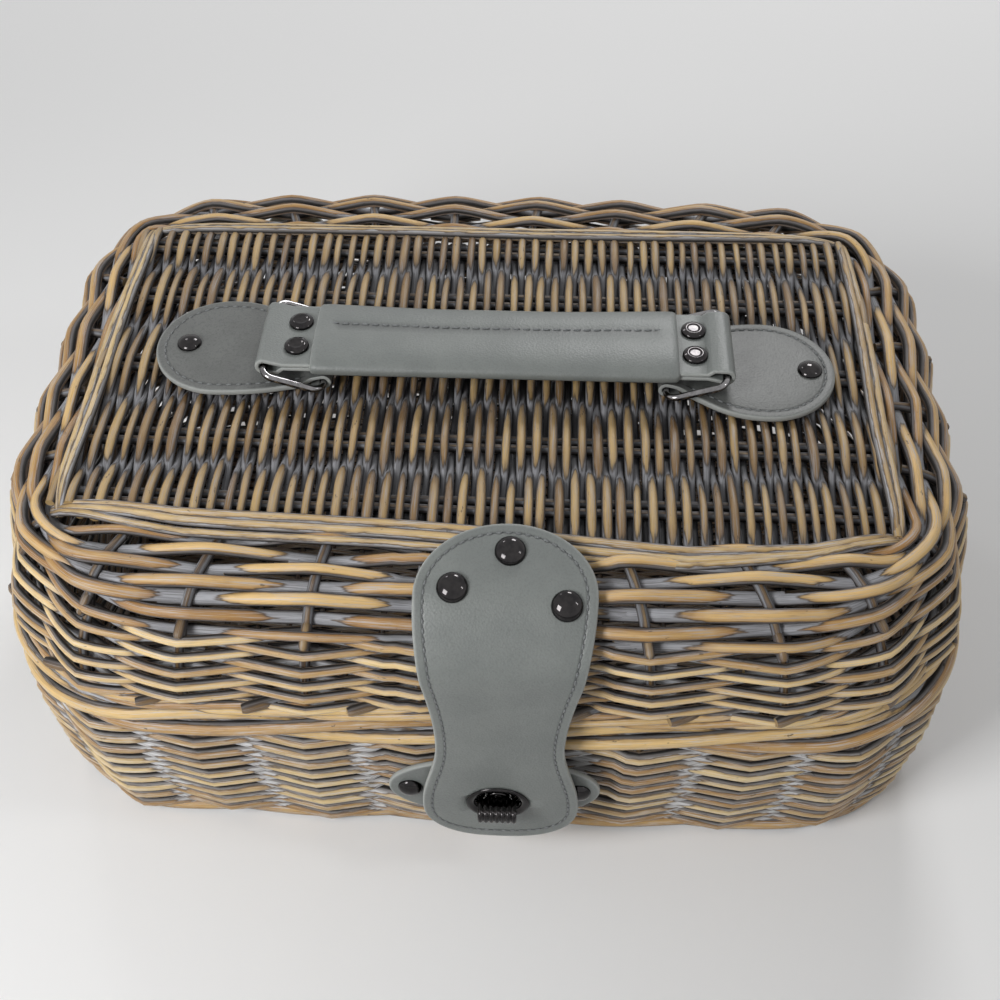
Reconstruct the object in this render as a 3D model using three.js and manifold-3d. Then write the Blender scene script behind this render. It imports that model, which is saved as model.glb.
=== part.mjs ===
// Wicker picnic basket with a shouldered lid, a leather flap with a twist lock and a ringed handle.
// Millimetres, +Z up, +X to the right and +Y to the back. The origin is the centre of the underside.

import * as THREE from 'three';
import { mergeVertices } from 'three/addons/utils/BufferGeometryUtils.js';
import Module from 'manifold-3d';

const wasm = await Module();
wasm.setup();

// Clearances
const SEAT_GAP = 0.3;            // between pieces that rest on each other
const RUN_GAP = 0.4;             // round a wire or a shaft that turns
const HOLE_GAP = 0.25;           // round a rivet's shank in punched leather
const HEAD_GAP = 0.2;            // under a rivet's head

// Basket body
const BODY_HEIGHT = 105;         // underside to the top of the rim border
const RIM_HALF_WIDTH = 200;
const RIM_HALF_DEPTH = 141;
const RIM_CORNER = 70;
const FOOT_IN_X = 5.5;           // how far the foot lies inside the rim at the ends
const FOOT_IN_Y = 15.5;          // and at the front and back
const FOOT_HALF_WIDTH = RIM_HALF_WIDTH - FOOT_IN_X;
const FOOT_HALF_DEPTH = RIM_HALF_DEPTH - FOOT_IN_Y;
const FOOT_CORNER = 56;
const FOOT_X = -0.5;             // the foot's middle from the rim's
const SIDE_BOW = 2;              // how far the long sides bow out between the corners
const WALL_THICK = 7;
const FLOOR_THICK = 6;
const FOOT_ROD_RADIUS = 4;
const RIM_ROD_RADIUS = 3.2;
const RIM_ROD_INSET = 2.2;       // from the rim's outline in to the rods' centre line
const RIM_ROD_COUNT = 3;

// Weave: each row runs over one stake and behind the next, and the row above does the opposite
const STAKE_COUNT = 30;
const STAKE_CROWN = 1.2;         // how far a row stands out of the wall's outline where it runs over a stake
const WEAVE_DEPTH = 4;           // and from there in to where it lies behind the next one
const BODY_ROW_PITCH = 5;
const SKIRT_ROW_PITCH = 4.4;
const SHOULDER_ROWS = 6;
const BODY_STAKE_X = -8;         // a stake of the body on the front, from the middle
const LID_STAKE_X = -19.5;       // a stake of the lid on the front, from the middle

// Lid
const LID_IN_X = 1;              // how far the lid's rim lies inside the body's at the ends
const LID_OUT_Y = 3;             // and outside it at the front and back
const LID_RIM_HALF_WIDTH = RIM_HALF_WIDTH - LID_IN_X;
const LID_RIM_HALF_DEPTH = RIM_HALF_DEPTH + LID_OUT_Y;
const LID_RIM_CORNER = 76;
const LID_ROD_RADIUS = 3;
const LID_ROD_INSET = 3.4;
const KNEE_IN_X = 4;             // the skirt leans in this far up to its knee, where the shoulder starts
const KNEE_IN_Y = 2;
const KNEE_HALF_WIDTH = LID_RIM_HALF_WIDTH - KNEE_IN_X;
const KNEE_HALF_DEPTH = LID_RIM_HALF_DEPTH - KNEE_IN_Y;
const KNEE_CORNER = 90;
const KNEE_Y = 1;
const KNEE_Z = 150;
const SHOULDER_RUN_X = 27.5;     // from the knee in to the panel's edge
const SHOULDER_RUN_Y = 44;
const PANEL_EDGE_HALF_WIDTH = KNEE_HALF_WIDTH - SHOULDER_RUN_X;
const PANEL_EDGE_HALF_DEPTH = KNEE_HALF_DEPTH - SHOULDER_RUN_Y;
const PANEL_EDGE_CORNER = 12;
const PANEL_EDGE_Z = 169.5;
const PANEL_EDGE_BOW = 4;
const SHOULDER_BULGE = 6;        // how far the shoulder swells out between the knee and the panel
const PANEL_X = -2;              // the panel's middle from the basket's middle
const PANEL_Y = -4.5;
const PANEL_RISE = 3.5;          // the panel's top above its edge
const PANEL_THICK = 7.5;
const PANEL_STRANDS = 90;
const STRAND_RISE = 3.5;         // a strand's rise over a pair of cross rods, from where it runs under the next
const CROSS_PAIRS = [0.067, 0.254, 0.503, 0.757, 0.955];  // places of the pairs, from the panel's front to its back
const FRAME_ROD_RADIUS = 2.6;

// Closure flap
const FLAP_X = 9.7;
const FLAP_LEAN = 2.1;           // how far right of its foot the flap's top lies
const FLAP_THICK = 2.6;
const FLAP_TOP_HALF_WIDTH = 34.4;
const FLAP_WAIST_HALF_WIDTH = 25.5;
const FLAP_LOBE_HALF_WIDTH = 32.2;
const FLAP_TOP_OVER = 2.5;       // how far the flap's top reaches in over the panel's frame
const FLAP_WIDEST_AT = 29;       // along the leather from the top edge
const FLAP_WAIST_Z = 99;
const FLAP_LOBE_Z = 56;
const FLAP_TIP_Z = 34;
const FLAP_STRAIGHT_Z = 134;     // below this the flap hangs straight
const FLAP_FOLD_Z = 102;         // the crease that the flap is lifted at
const FLAP_FLARE = 1.6;          // how far the tip stands out
const FLAP_RIVETS = [            // place across from the flap's middle, and along it from its top
  { name: 'top', across: 2.8, along: 11.5 },
  { name: 'left', across: -18.2, along: 26.5 },
  { name: 'right', across: 24.3, along: 32 },
];

// Twist lock
const LOCK_X = 8.7;
const LOCK_Z = 59.5;
const EYELET_HALF_WIDTH = 10.8;
const EYELET_HALF_HEIGHT = 9.4;
const EYELET_METAL = 0.9;
const EYELET_FLANGE = 1.9;
const PATCH_X = 7;
const PATCH_HALF_WIDTH = 44;
const PATCH_HALF_HEIGHT = 21;
const PATCH_THICK = 2.3;
const PATCH_RIVET_SPACING = 70;
const PLATE_HALF_WIDTH = 17;
const PLATE_HALF_HEIGHT = 13;
const PLATE_THICK = 1.7;
const BOSS_RADIUS = 5;
const BOSS_LONG = 3;
const KNOB_SHAFT_RADIUS = 2.6;
const KNOB_WIDTH = 16;
const KNOB_HEIGHT = 8;
const KNOB_DEPTH = 7;
const KNOB_RIBS = 6;
const KNOB_RIB_DEPTH = 0.9;

// Handle
const HANDLE_X = 2.7;
const HANDLE_Y = -6;
const WIRE_RADIUS = 1.5;
const TAB_BAR_HALF_SPAN = 71;    // handle's middle to the ring bar in the tab's loop
const RING_LONG = 25;            // bar to bar
const RING_WIDE = 48;            // leg to leg
const RING_CORNER = 4.5;
const RING_LEAN_DEG = 18.5;
const TAB_THICK = 2.6;
const LOOP_LEATHER = 1.9;
const TAB_LONG = { left: 74.5, right: 71 };    // ring bar to the tab's outer end
const TAB_NECK_HALF_WIDTH = 18.5;
const TAB_NECK_LONG = 6;
const TAB_NECK_EASE = 8;         // how slowly the neck starts to widen
const TAB_OVAL_EASE = 22;        // and how early it reaches the oval's width
const TAB_HALF_WIDTH = 29.4;
const TAB_RIVET_FROM_BAR = 60.6;
const TAB_ASKEW = { left: 5.5, right: -2.5 };  // how far back the tabs' round ends lie from the handle's line
const STRAP_HALF_WIDTH = 19;
const STRAP_LAYER = 1.8;
const HANDLE_LIFT = 9;           // how far the handle rises before its loops come up against the rings
const STRAP_RIVET_FROM_BAR = 12.3;
const STRAP_RIVET_SPACING = 15.5;
const GRIP_FROM_RIVET = 1.6;     // from the rivets' heads to the grip's ends
const GRIP_HALF_WIDTH = 21.5;
const GRIP_WALL = 1.5;
const GRIP_CROWN = 1.6;

// Hinge straps at the back
const HINGE_STRAP_X = 108;
const HINGE_STRAP_HALF_WIDTH = 17;
const HINGE_STRAP_THICK = 2.4;
const HINGE_STRAP_UP = 36;
const HINGE_STRAP_DOWN = 46;
const HINGE_RIVET_IN = 11;       // from the strap's end to its rivet
const FOLD_GAP = 1.2;            // between the two leaves where the leather bends
const FOLD_Z = BODY_HEIGHT + 1;

// Rivets: dome or cap, and shank
const DOME = { radius: 6, height: 3.4, flat: 0 };
const SMALL_DOME = { radius: 5.2, height: 2.8, flat: 0 };
const CAP = { radius: 5.2, height: 2, flat: 0.7 };
const SHANK_RADIUS = 1.5;

// Fineness of the meshes
const SAMPLES_PER_STAKE = 2;
const CORNER_STEPS = 5;
const ROD_SIDES = 8;
const THIN_ROD_SIDES = 6;
const RIVET_SIDES = 8;

// Materials
const finish = (color, roughness, metalness) => new THREE.MeshStandardMaterial({ color, roughness, metalness });
const willow = finish(0xa9743f, 0.7, 0);
const washedWillow = finish(0x8f7a62, 0.75, 0);
const borderWillow = finish(0xb5793c, 0.65, 0);
const greyLeather = finish(0x77787a, 0.5, 0);
const darkNickel = finish(0x55565a, 0.25, 1);

const part = new THREE.Group();

function place(name, geometry, material, parent = part) {
  const mesh = new THREE.Mesh(geometry, material);
  mesh.name = name;
  parent.add(mesh);
  return mesh;
}

// Joining and cutting

function toSolid(geometry) {
  const bare = geometry.clone();
  bare.deleteAttribute('normal');
  bare.deleteAttribute('uv');
  const merged = mergeVertices(bare, 1e-4);
  return new wasm.Manifold(new wasm.Mesh({
    numProp: 3,
    vertProperties: new Float32Array(merged.attributes.position.array),
    triVerts: new Uint32Array(merged.index.array),
  }));
}

function toGeometry(solid) {
  const mesh = solid.getMesh();
  const geometry = new THREE.BufferGeometry();
  geometry.setAttribute('position', new THREE.BufferAttribute(new Float32Array(mesh.vertProperties), 3));
  geometry.setIndex(new THREE.BufferAttribute(new Uint32Array(mesh.triVerts), 1));
  geometry.computeVertexNormals();
  return geometry;
}

const cut = (geometry, ...tools) => toGeometry(tools.reduce((s, t) => s.subtract(toSolid(t)), toSolid(geometry)));
const join = (geometry, ...others) => toGeometry(others.reduce((s, t) => s.add(toSolid(t)), toSolid(geometry)));
const common = (a, b) => toGeometry(toSolid(a).intersect(toSolid(b)));

// Skins through rings of points. The rings close on themselves, and so may the row of rings.
// Where a centre is given, each square is folded along the diagonal that lies farther from it, so swells stay full.

function loft(rings, ringsClose, centre) {
  const count = rings[0].length;
  const positions = rings.flat().flatMap((p) => [p.x, p.y, p.z]);
  const index = [];
  const spans = ringsClose ? rings.length : rings.length - 1;
  for (let i = 0; i < spans; i++) {
    const upper = (i + 1) % rings.length;
    const here = i * count;
    const next = upper * count;
    for (let j = 0; j < count; j++) {
      const k = (j + 1) % count;
      const reach = (a, b) => a.clone().add(b).multiplyScalar(0.5).distanceTo(centre);
      if (centre && reach(rings[i][k], rings[upper][j]) > reach(rings[i][j], rings[upper][k])) {
        index.push(here + j, here + k, next + j, here + k, next + k, next + j);
      } else {
        index.push(here + j, here + k, next + k, here + j, next + k, next + j);
      }
    }
  }
  if (!ringsClose) {
    const top = (rings.length - 1) * count;
    for (let j = 1; j < count - 1; j++) {
      index.push(0, j + 1, j, top, top + j, top + j + 1);
    }
  }
  const geometry = new THREE.BufferGeometry();
  geometry.setAttribute('position', new THREE.Float32BufferAttribute(positions, 3));
  geometry.setIndex(facingOut(positions, index));
  geometry.computeVertexNormals();
  return geometry;
}

function facingOut(positions, index) {
  const corner = (i) => new THREE.Vector3().fromArray(positions, 3 * i);
  let volume = 0;
  for (let i = 0; i < index.length; i += 3) {
    volume += corner(index[i]).dot(corner(index[i + 1]).cross(corner(index[i + 2])));
  }
  return volume > 0 ? index : index.reverse();
}

// Plans: round-cornered outlines with slightly bowed sides

const plan = (halfX, halfY, corner, bow = SIDE_BOW, x = 0, y = 0) => ({ halfX, halfY, corner, bow, x, y });

const grown = (p, by) => ({ ...p, halfX: p.halfX + by, halfY: p.halfY + by, corner: p.corner + by });

const between = (a, b, t) => Object.fromEntries(
  Object.keys(a).map((key) => [key, THREE.MathUtils.lerp(a[key], b[key], t)]),
);

// The outline starts at the middle of the front and runs anticlockwise, seen from above.
function outlinePath(p) {
  const a = p.halfX - p.corner;
  const b = p.halfY - p.corner;
  const path = new THREE.Path();
  path.moveTo(0, -p.halfY);
  path.lineTo(a, -p.halfY);
  path.absarc(a, -b, p.corner, -Math.PI / 2, 0);
  path.lineTo(p.halfX, b);
  path.absarc(a, b, p.corner, 0, Math.PI / 2);
  path.lineTo(-a, p.halfY);
  path.absarc(-a, b, p.corner, Math.PI / 2, Math.PI);
  path.lineTo(-p.halfX, -b);
  path.absarc(-a, -b, p.corner, Math.PI, 1.5 * Math.PI);
  path.lineTo(0, -p.halfY);
  return path;
}

function outlinePoint(p, path, share, out = 0) {
  const point = path.getPoint(share % 1);
  const along = path.getTangent(share % 1);
  const reach = p.halfX - p.corner;
  const onLongSide = Math.abs(point.x) < reach ? (point.x / reach) ** 2 : 1;
  const bow = p.bow * onLongSide * Math.abs(along.x);
  return new THREE.Vector2(
    p.x + point.x + (out - bow) * along.y,
    p.y + point.y - (out - bow) * along.x,
  );
}

const evenShares = (count) => Array.from({ length: count }, (_, i) => i / count);

// Shares of the outline where its rods bend: steps round each corner and a few along each side
function bendShares(p, sideSteps = 4, cornerSteps = CORNER_STEPS) {
  const a = p.halfX - p.corner;
  const b = p.halfY - p.corner;
  const arc = (p.corner * Math.PI) / 2;
  const runs = [[a, sideSteps / 2], [arc, cornerSteps], [2 * b, 1], [arc, cornerSteps], [2 * a, sideSteps],
    [arc, cornerSteps], [2 * b, 1], [arc, cornerSteps], [a, sideSteps / 2]];
  const whole = 4 * (a + b + arc);
  const shares = [];
  let start = 0;
  for (const [length, steps] of runs) {
    for (let i = 0; i < steps; i++) shares.push((start + (length * i) / steps) / whole);
    start += length;
  }
  return shares;
}

// A rod bent round a plan
function rodRing(p, z, radius, sides = ROD_SIDES, shares = bendShares(p)) {
  const rings = [];
  for (let i = 0; i < sides; i++) {
    const angle = ((i + 0.5) / sides) * 2 * Math.PI - Math.PI / 2;
    const path = outlinePath(p);
    const out = radius * Math.cos(angle);
    rings.push(shares.map((share) => {
      const point = outlinePoint(p, path, share, out);
      return new THREE.Vector3(point.x, point.y, z + radius * Math.sin(angle));
    }));
  }
  return loft(rings, true);
}

// How far a rod's flat facets lie from its centre line
const rodHalf = (radius, sides = ROD_SIDES) => radius * Math.cos(Math.PI / sides);

// A woven shell from levels of {plan, z}: the outer face going up, then the inner one going down.
// A level with a row number swells over every other stake and sinks at the rest, square to the wall's slope.
function wovenShell(outer, inner, stakeX) {
  const count = STAKE_COUNT * SAMPLES_PER_STAKE;
  const stakeShare = stakeX / outlinePath(outer[0].plan).getLength();
  const upright = new THREE.Vector2(1, 0);
  const ring = ({ plan: p, z, row, crown = STAKE_CROWN, facing = upright }) => {
    const path = outlinePath(p);
    return evenShares(count).map((share, i) => {
      const wave = Math.cos(Math.PI * (i / SAMPLES_PER_STAKE + row));
      const out = row === undefined ? 0 : crown - WEAVE_DEPTH * (0.5 - 0.5 * wave);
      const point = outlinePoint(p, path, 1 + stakeShare + share, out * facing.x);
      return new THREE.Vector3(point.x, point.y, z + out * facing.y);
    });
  };
  return loft([...outer.map(ring), ...inner.map(ring)], true, new THREE.Vector3(0, 0, outer[0].z));
}

// The plain edge of a woven face lies midway between its swells and its hollows.
const selvage = (p) => grown(p, STAKE_CROWN - WEAVE_DEPTH / 2);

const rowMiddles = (count) => Array.from({ length: count }, (_, i) => (i + 0.5) / count);

// Rivets stand on the plane z = 0 with their shank below it.

function rivet(form, shankLong) {
  const profile = [new THREE.Vector2(0, -shankLong), new THREE.Vector2(SHANK_RADIUS, -shankLong),
    new THREE.Vector2(SHANK_RADIUS, 0), new THREE.Vector2(form.radius, 0)];
  const flat = form.flat * form.radius;
  const steps = 3;
  for (let i = 1; i <= steps; i++) {
    const angle = (i / steps) * (Math.PI / 2);
    profile.push(new THREE.Vector2(
      flat + (form.radius - flat) * Math.cos(angle) * (i < steps ? 1 : 0),
      form.height * Math.sin(angle),
    ));
  }
  if (flat > 0) profile.push(new THREE.Vector2(0, form.height));
  return new THREE.LatheGeometry(profile, RIVET_SIDES).rotateX(Math.PI / 2);
}

function punch(long = 20) {
  return new THREE.CylinderGeometry(SHANK_RADIUS + HOLE_GAP, SHANK_RADIUS + HOLE_GAP, long, RIVET_SIDES)
    .rotateX(Math.PI / 2);
}

// Turns what stands up along +Z so that it faces the front.
const facingFront = (geometry) => geometry.rotateX(Math.PI / 2);

// Body

const rimPlan = plan(RIM_HALF_WIDTH, RIM_HALF_DEPTH, RIM_CORNER);
const footPlan = plan(FOOT_HALF_WIDTH, FOOT_HALF_DEPTH, FOOT_CORNER, SIDE_BOW, FOOT_X);
// The wall bellies out on its way up, and its corners open out late.
function bodyPlan(z) {
  const t = Math.min(z / BODY_HEIGHT, 1);
  const belly = between(footPlan, rimPlan, Math.sin((t * Math.PI) / 2));
  return { ...belly, corner: THREE.MathUtils.lerp(FOOT_CORNER, RIM_CORNER, t ** 1.4) };
}

const rimRodPitch = 2 * rodHalf(RIM_ROD_RADIUS) + SEAT_GAP;
const footRodHalf = rodHalf(FOOT_ROD_RADIUS, THIN_ROD_SIDES);
const wallBottom = 2 * footRodHalf + SEAT_GAP;
const wallTop = BODY_HEIGHT - RIM_ROD_COUNT * rimRodPitch;

function makeBody() {
  const heights = rowMiddles(Math.round((wallTop - wallBottom) / BODY_ROW_PITCH))
    .map((t) => THREE.MathUtils.lerp(wallBottom, wallTop, t));
  const outer = [
    { plan: selvage(bodyPlan(wallBottom)), z: wallBottom },
    ...heights.map((z, row) => ({ plan: bodyPlan(z), z, row })),
    { plan: selvage(bodyPlan(wallTop)), z: wallTop },
  ];
  const inner = [wallTop, (wallTop + wallBottom) / 2, wallBottom]
    .map((z) => ({ plan: grown(bodyPlan(z), -WALL_THICK), z }));
  place('side_wall', wovenShell(outer, inner, BODY_STAKE_X), willow);

  const footLine = grown(bodyPlan(wallBottom), -WALL_THICK / 2);
  place('foot_border', rodRing(footLine, footRodHalf, FOOT_ROD_RADIUS, THIN_ROD_SIDES), borderWillow);

  const floorPlan = grown(footLine, -FOOT_ROD_RADIUS - SEAT_GAP);
  const floorPath = outlinePath(floorPlan);
  const floorShape = new THREE.Shape(bendShares(floorPlan).map((s) => outlinePoint(floorPlan, floorPath, s)));
  place('woven_floor', new THREE.ExtrudeGeometry(floorShape, { depth: FLOOR_THICK, bevelEnabled: false }), willow);

  const names = ['lower', 'middle', 'upper'];
  for (let i = 0; i < RIM_ROD_COUNT; i++) {
    const z = wallTop + SEAT_GAP + rodHalf(RIM_ROD_RADIUS) + i * rimRodPitch;
    const line = grown(bodyPlan(z), -RIM_ROD_INSET);
    place(`rim_rod_${names[i] ?? i}`, rodRing(line, z, RIM_ROD_RADIUS), borderWillow);
  }
}

// Lid

const lidRimPlan = plan(LID_RIM_HALF_WIDTH, LID_RIM_HALF_DEPTH, LID_RIM_CORNER);
const kneePlan = plan(KNEE_HALF_WIDTH, KNEE_HALF_DEPTH, KNEE_CORNER, SIDE_BOW, 0, KNEE_Y);
const edgePlan = plan(PANEL_EDGE_HALF_WIDTH, PANEL_EDGE_HALF_DEPTH, PANEL_EDGE_CORNER, PANEL_EDGE_BOW,
  PANEL_X, PANEL_Y);
const lidRodHalf = rodHalf(LID_ROD_RADIUS, THIN_ROD_SIDES);
const lidRodZ = BODY_HEIGHT + SEAT_GAP + lidRodHalf;
const lidWallBottom = lidRodZ + lidRodHalf + SEAT_GAP;
const panelTop = PANEL_EDGE_Z + PANEL_RISE;
const panelPlan = { ...grown(edgePlan, -WALL_THICK - RUN_GAP), corner: PANEL_EDGE_CORNER };
const frameLine = grown(panelPlan, SEAT_GAP + FRAME_ROD_RADIUS);
const frameZ = PANEL_EDGE_Z + SEAT_GAP + rodHalf(FRAME_ROD_RADIUS, THIN_ROD_SIDES);

const skirtPlan = (t) => between(lidRimPlan, kneePlan, t ** 2.2);
const skirtZ = (t) => THREE.MathUtils.lerp(lidWallBottom, KNEE_Z, t);
const swell = (t) => SHOULDER_BULGE * Math.sin(Math.PI * t);
const shoulderPlan = (t) => grown(between(kneePlan, edgePlan, t), 0.5 * swell(t));
const shoulderZ = (t) => THREE.MathUtils.lerp(KNEE_Z, PANEL_EDGE_Z, t) + 0.87 * swell(t);

const shoulderFront = (t) => new THREE.Vector2(shoulderPlan(t).y - shoulderPlan(t).halfY, shoulderZ(t));
const upShoulder = (t) => shoulderFront(t + 0.01).sub(shoulderFront(t - 0.01)).normalize();
// What faces square out of the shoulder: its part across the wall and its part up
const facingAt = (t) => new THREE.Vector2(upShoulder(t).y, upShoulder(t).x);

function makeLid() {
  const skirt = rowMiddles(Math.round((KNEE_Z - lidWallBottom) / SKIRT_ROW_PITCH));
  const outer = [
    { plan: selvage(lidRimPlan), z: lidWallBottom },
    ...skirt.map((t, row) => ({ plan: skirtPlan(t), z: skirtZ(t), row })),
    ...rowMiddles(SHOULDER_ROWS).map((t, i) => ({
      plan: shoulderPlan(t), z: shoulderZ(t), row: skirt.length + i, crown: STAKE_CROWN * (1 - t), facing: facingAt(t),
    })),
    { plan: edgePlan, z: PANEL_EDGE_Z },
  ];
  const inner = [
    { plan: grown(edgePlan, -WALL_THICK), z: PANEL_EDGE_Z },
    { plan: grown(edgePlan, -WALL_THICK), z: PANEL_EDGE_Z - WALL_THICK },
    { plan: grown(shoulderPlan(0.5), -0.5 * WALL_THICK), z: shoulderZ(0.5) - 0.9 * WALL_THICK },
    { plan: grown(kneePlan, -0.9 * WALL_THICK), z: KNEE_Z - 0.5 * WALL_THICK },
    { plan: grown(lidRimPlan, -WALL_THICK), z: lidWallBottom },
  ];
  place('lid_shell', wovenShell(outer, inner, LID_STAKE_X), washedWillow);

  const rodLine = grown(lidRimPlan, -LID_ROD_INSET);
  place('lid_border_rod', rodRing(rodLine, lidRodZ, LID_ROD_RADIUS, THIN_ROD_SIDES), borderWillow);

  place('lid_panel', panelGeometry(panelPlan), washedWillow);

  place('panel_frame_rod', rodRing(frameLine, frameZ, FRAME_ROD_RADIUS, THIN_ROD_SIDES), borderWillow);
}

// The panel's strands run from front to back, over one pair of cross rods and under the next, and dive at both ends.
function panelGeometry(p) {
  const bottom = panelTop - PANEL_THICK;
  const pitch = (2 * p.halfX) / PANEL_STRANDS;
  const left = p.x - p.halfX;
  const middle = panelTop - STRAND_RISE / 2;
  const ring = (place, pair) => {
    const y = p.y + p.halfY * (2 * place - 1);
    const strands = Array.from({ length: PANEL_STRANDS }, (_, i) => {
      const z = pair === undefined ? middle : panelTop - STRAND_RISE * ((i + pair) % 2);
      return new THREE.Vector3(left + (i + 0.5) * pitch, y, z);
    });
    return [
      new THREE.Vector3(left, y, bottom), new THREE.Vector3(left, y, middle), ...strands,
      new THREE.Vector3(left + 2 * p.halfX, y, middle), new THREE.Vector3(left + 2 * p.halfX, y, bottom),
    ];
  };
  const farBelow = new THREE.Vector3(p.x, p.y, -10 * p.halfX);
  const strands = loft([ring(0), ...CROSS_PAIRS.map(ring), ring(1)], false, farBelow);
  const path = outlinePath(p);
  const shape = new THREE.Shape(bendShares(p).map((s) => outlinePoint(p, path, s)));
  const block = new THREE.ExtrudeGeometry(shape, { depth: 4 * PANEL_THICK, bevelEnabled: false })
    .translate(0, 0, panelTop - 2 * PANEL_THICK);
  return common(strands, block);
}

// Sheets of leather that follow a path in the Y-Z plane, with a middle and a half width at each place along it

function leatherSheet(path, middle, halfWidth, thick, stations) {
  const rings = stations.map((at) => {
    const share = at / path.getLength();
    const point = path.getPoint(share);
    const along = path.getTangent(share);
    const x = middle(at);
    const half = halfWidth(at);
    const ny = (-along.y * thick) / 2;
    const nz = (along.x * thick) / 2;
    return [
      new THREE.Vector3(x - half, point.x + ny, point.y + nz),
      new THREE.Vector3(x + half, point.x + ny, point.y + nz),
      new THREE.Vector3(x + half, point.x - ny, point.y - nz),
      new THREE.Vector3(x - half, point.x - ny, point.y - nz),
    ];
  });
  return loft(rings, false);
}

// Brings a piece that stands on z = 0 onto such a sheet: to the front (-1) or the back (1), lifted off its middle
function seatOn(path, at, x, facing) {
  const share = at / path.getLength();
  const point = path.getPoint(share);
  const along = path.getTangent(share);
  const out = new THREE.Vector2(along.y, -along.x);
  if (out.x * facing < 0) out.negate();
  const turn = Math.atan2(-out.x, out.y);
  return (geometry, lift) => geometry.rotateX(turn).translate(x, point.x + lift * out.x, point.y + lift * out.y);
}

const steps = (from, to, count) => Array.from({ length: count + 1 }, (_, i) => from + ((to - from) * i) / count);
const eased = (from, to, t) => from + (to - from) * (0.5 - 0.5 * Math.cos(Math.PI * t));

// Closure flap: down the shoulder, round the knee, and straight down over the rim to its tip

const flapLift = STAKE_CROWN + SEAT_GAP + FLAP_THICK / 2;
function overShoulder(t) {
  const facing = facingAt(t);
  return shoulderFront(t).add(new THREE.Vector2(-facing.x, facing.y).multiplyScalar(flapLift));
}
const patchBack = -(bodyPlan(LOCK_Z + PATCH_HALF_HEIGHT).halfY + STAKE_CROWN + SEAT_GAP);
const patchFront = patchBack - PATCH_THICK;
const plateFront = patchFront - SEAT_GAP - PLATE_THICK;
const flapBack = Math.min(
  plateFront - SEAT_GAP - EYELET_METAL - 0.2,
  -(LID_RIM_HALF_DEPTH + STAKE_CROWN + SEAT_GAP),
);
const flapMiddle = flapBack - FLAP_THICK / 2;
const flapFront = flapBack - FLAP_THICK;
const eyeletBottom = LOCK_Z - EYELET_HALF_HEIGHT - EYELET_FLANGE - 1;

const flapPath = new THREE.Path();
flapPath.moveTo(shoulderFront(1).x + FLAP_TOP_OVER, frameZ + FRAME_ROD_RADIUS + SEAT_GAP + FLAP_THICK / 2);
flapPath.splineThru([
  ...[0.7, 0.45, 0.2].map(overShoulder),
  new THREE.Vector2(flapMiddle + 0.8, (shoulderFront(0.2).y + FLAP_STRAIGHT_Z) / 2),
  new THREE.Vector2(flapMiddle, FLAP_STRAIGHT_Z),
]);
const flapBendEnd = flapPath.getLength();
flapPath.lineTo(flapMiddle, eyeletBottom);
flapPath.quadraticCurveTo(flapMiddle, (eyeletBottom + FLAP_TIP_Z) / 2, flapMiddle - FLAP_FLARE, FLAP_TIP_Z);
const flapLong = flapPath.getLength();
const alongAt = (z) => flapBendEnd + FLAP_STRAIGHT_Z - z;
const flapWaistAt = alongAt(FLAP_WAIST_Z);
const flapLobeAt = alongAt(FLAP_LOBE_Z);

const flapMiddleX = (at) => FLAP_X + FLAP_LEAN * Math.max(0, 1 - at / flapWaistAt);

function flapHalfWidth(at) {
  if (at < FLAP_WIDEST_AT) {
    return FLAP_TOP_HALF_WIDTH * Math.sqrt(1 - (1 - at / FLAP_WIDEST_AT) ** 2);
  }
  if (at < flapWaistAt) {
    const t = (at - FLAP_WIDEST_AT) / (flapWaistAt - FLAP_WIDEST_AT);
    return eased(FLAP_TOP_HALF_WIDTH, FLAP_WAIST_HALF_WIDTH, t);
  }
  if (at < flapLobeAt) {
    const t = (at - flapWaistAt) / (flapLobeAt - flapWaistAt);
    return eased(FLAP_WAIST_HALF_WIDTH, FLAP_LOBE_HALF_WIDTH, t);
  }
  const t = Math.min((at - flapLobeAt) / (flapLong - flapLobeAt), 1);
  return FLAP_LOBE_HALF_WIDTH * (1 - t ** 2.6) ** (1 / 2.6);
}

function makeFlap() {
  const foldAt = alongAt(FLAP_FOLD_Z);
  const trim = 0.5;
  const upperStations = [trim, 2, 5, 9, 14, 20, ...steps(FLAP_WIDEST_AT, foldAt - FOLD_GAP / 2, 14)];
  let upper = leatherSheet(flapPath, flapMiddleX, flapHalfWidth, FLAP_THICK, upperStations);
  const shankLong = FLAP_THICK + STAKE_CROWN;
  for (const { name, across, along: at } of FLAP_RIVETS) {
    const seat = seatOn(flapPath, at, FLAP_X + across, -1);
    upper = cut(upper, seat(punch(), 0));
    place(`flap_rivet_${name}`, seat(rivet(DOME, shankLong), FLAP_THICK / 2 + HEAD_GAP), darkNickel);
  }
  place('flap_upper', upper, greyLeather);

  const lowerStations = [...steps(foldAt + FOLD_GAP / 2, flapLobeAt, 8),
    ...steps(flapLobeAt, flapLong - trim, 6).slice(1), flapLong - 0.1];
  const lower = leatherSheet(flapPath, flapMiddleX, flapHalfWidth, FLAP_THICK, lowerStations);
  const hole = facingFront(new THREE.CylinderGeometry(1, 1, 20, 20).rotateX(Math.PI / 2))
    .scale(EYELET_HALF_WIDTH, 1, EYELET_HALF_HEIGHT).translate(LOCK_X, flapMiddle, LOCK_Z);
  place('flap_lower', cut(lower, hole), greyLeather);
  place('flap_eyelet', eyeletGeometry(), darkNickel);
}

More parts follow.
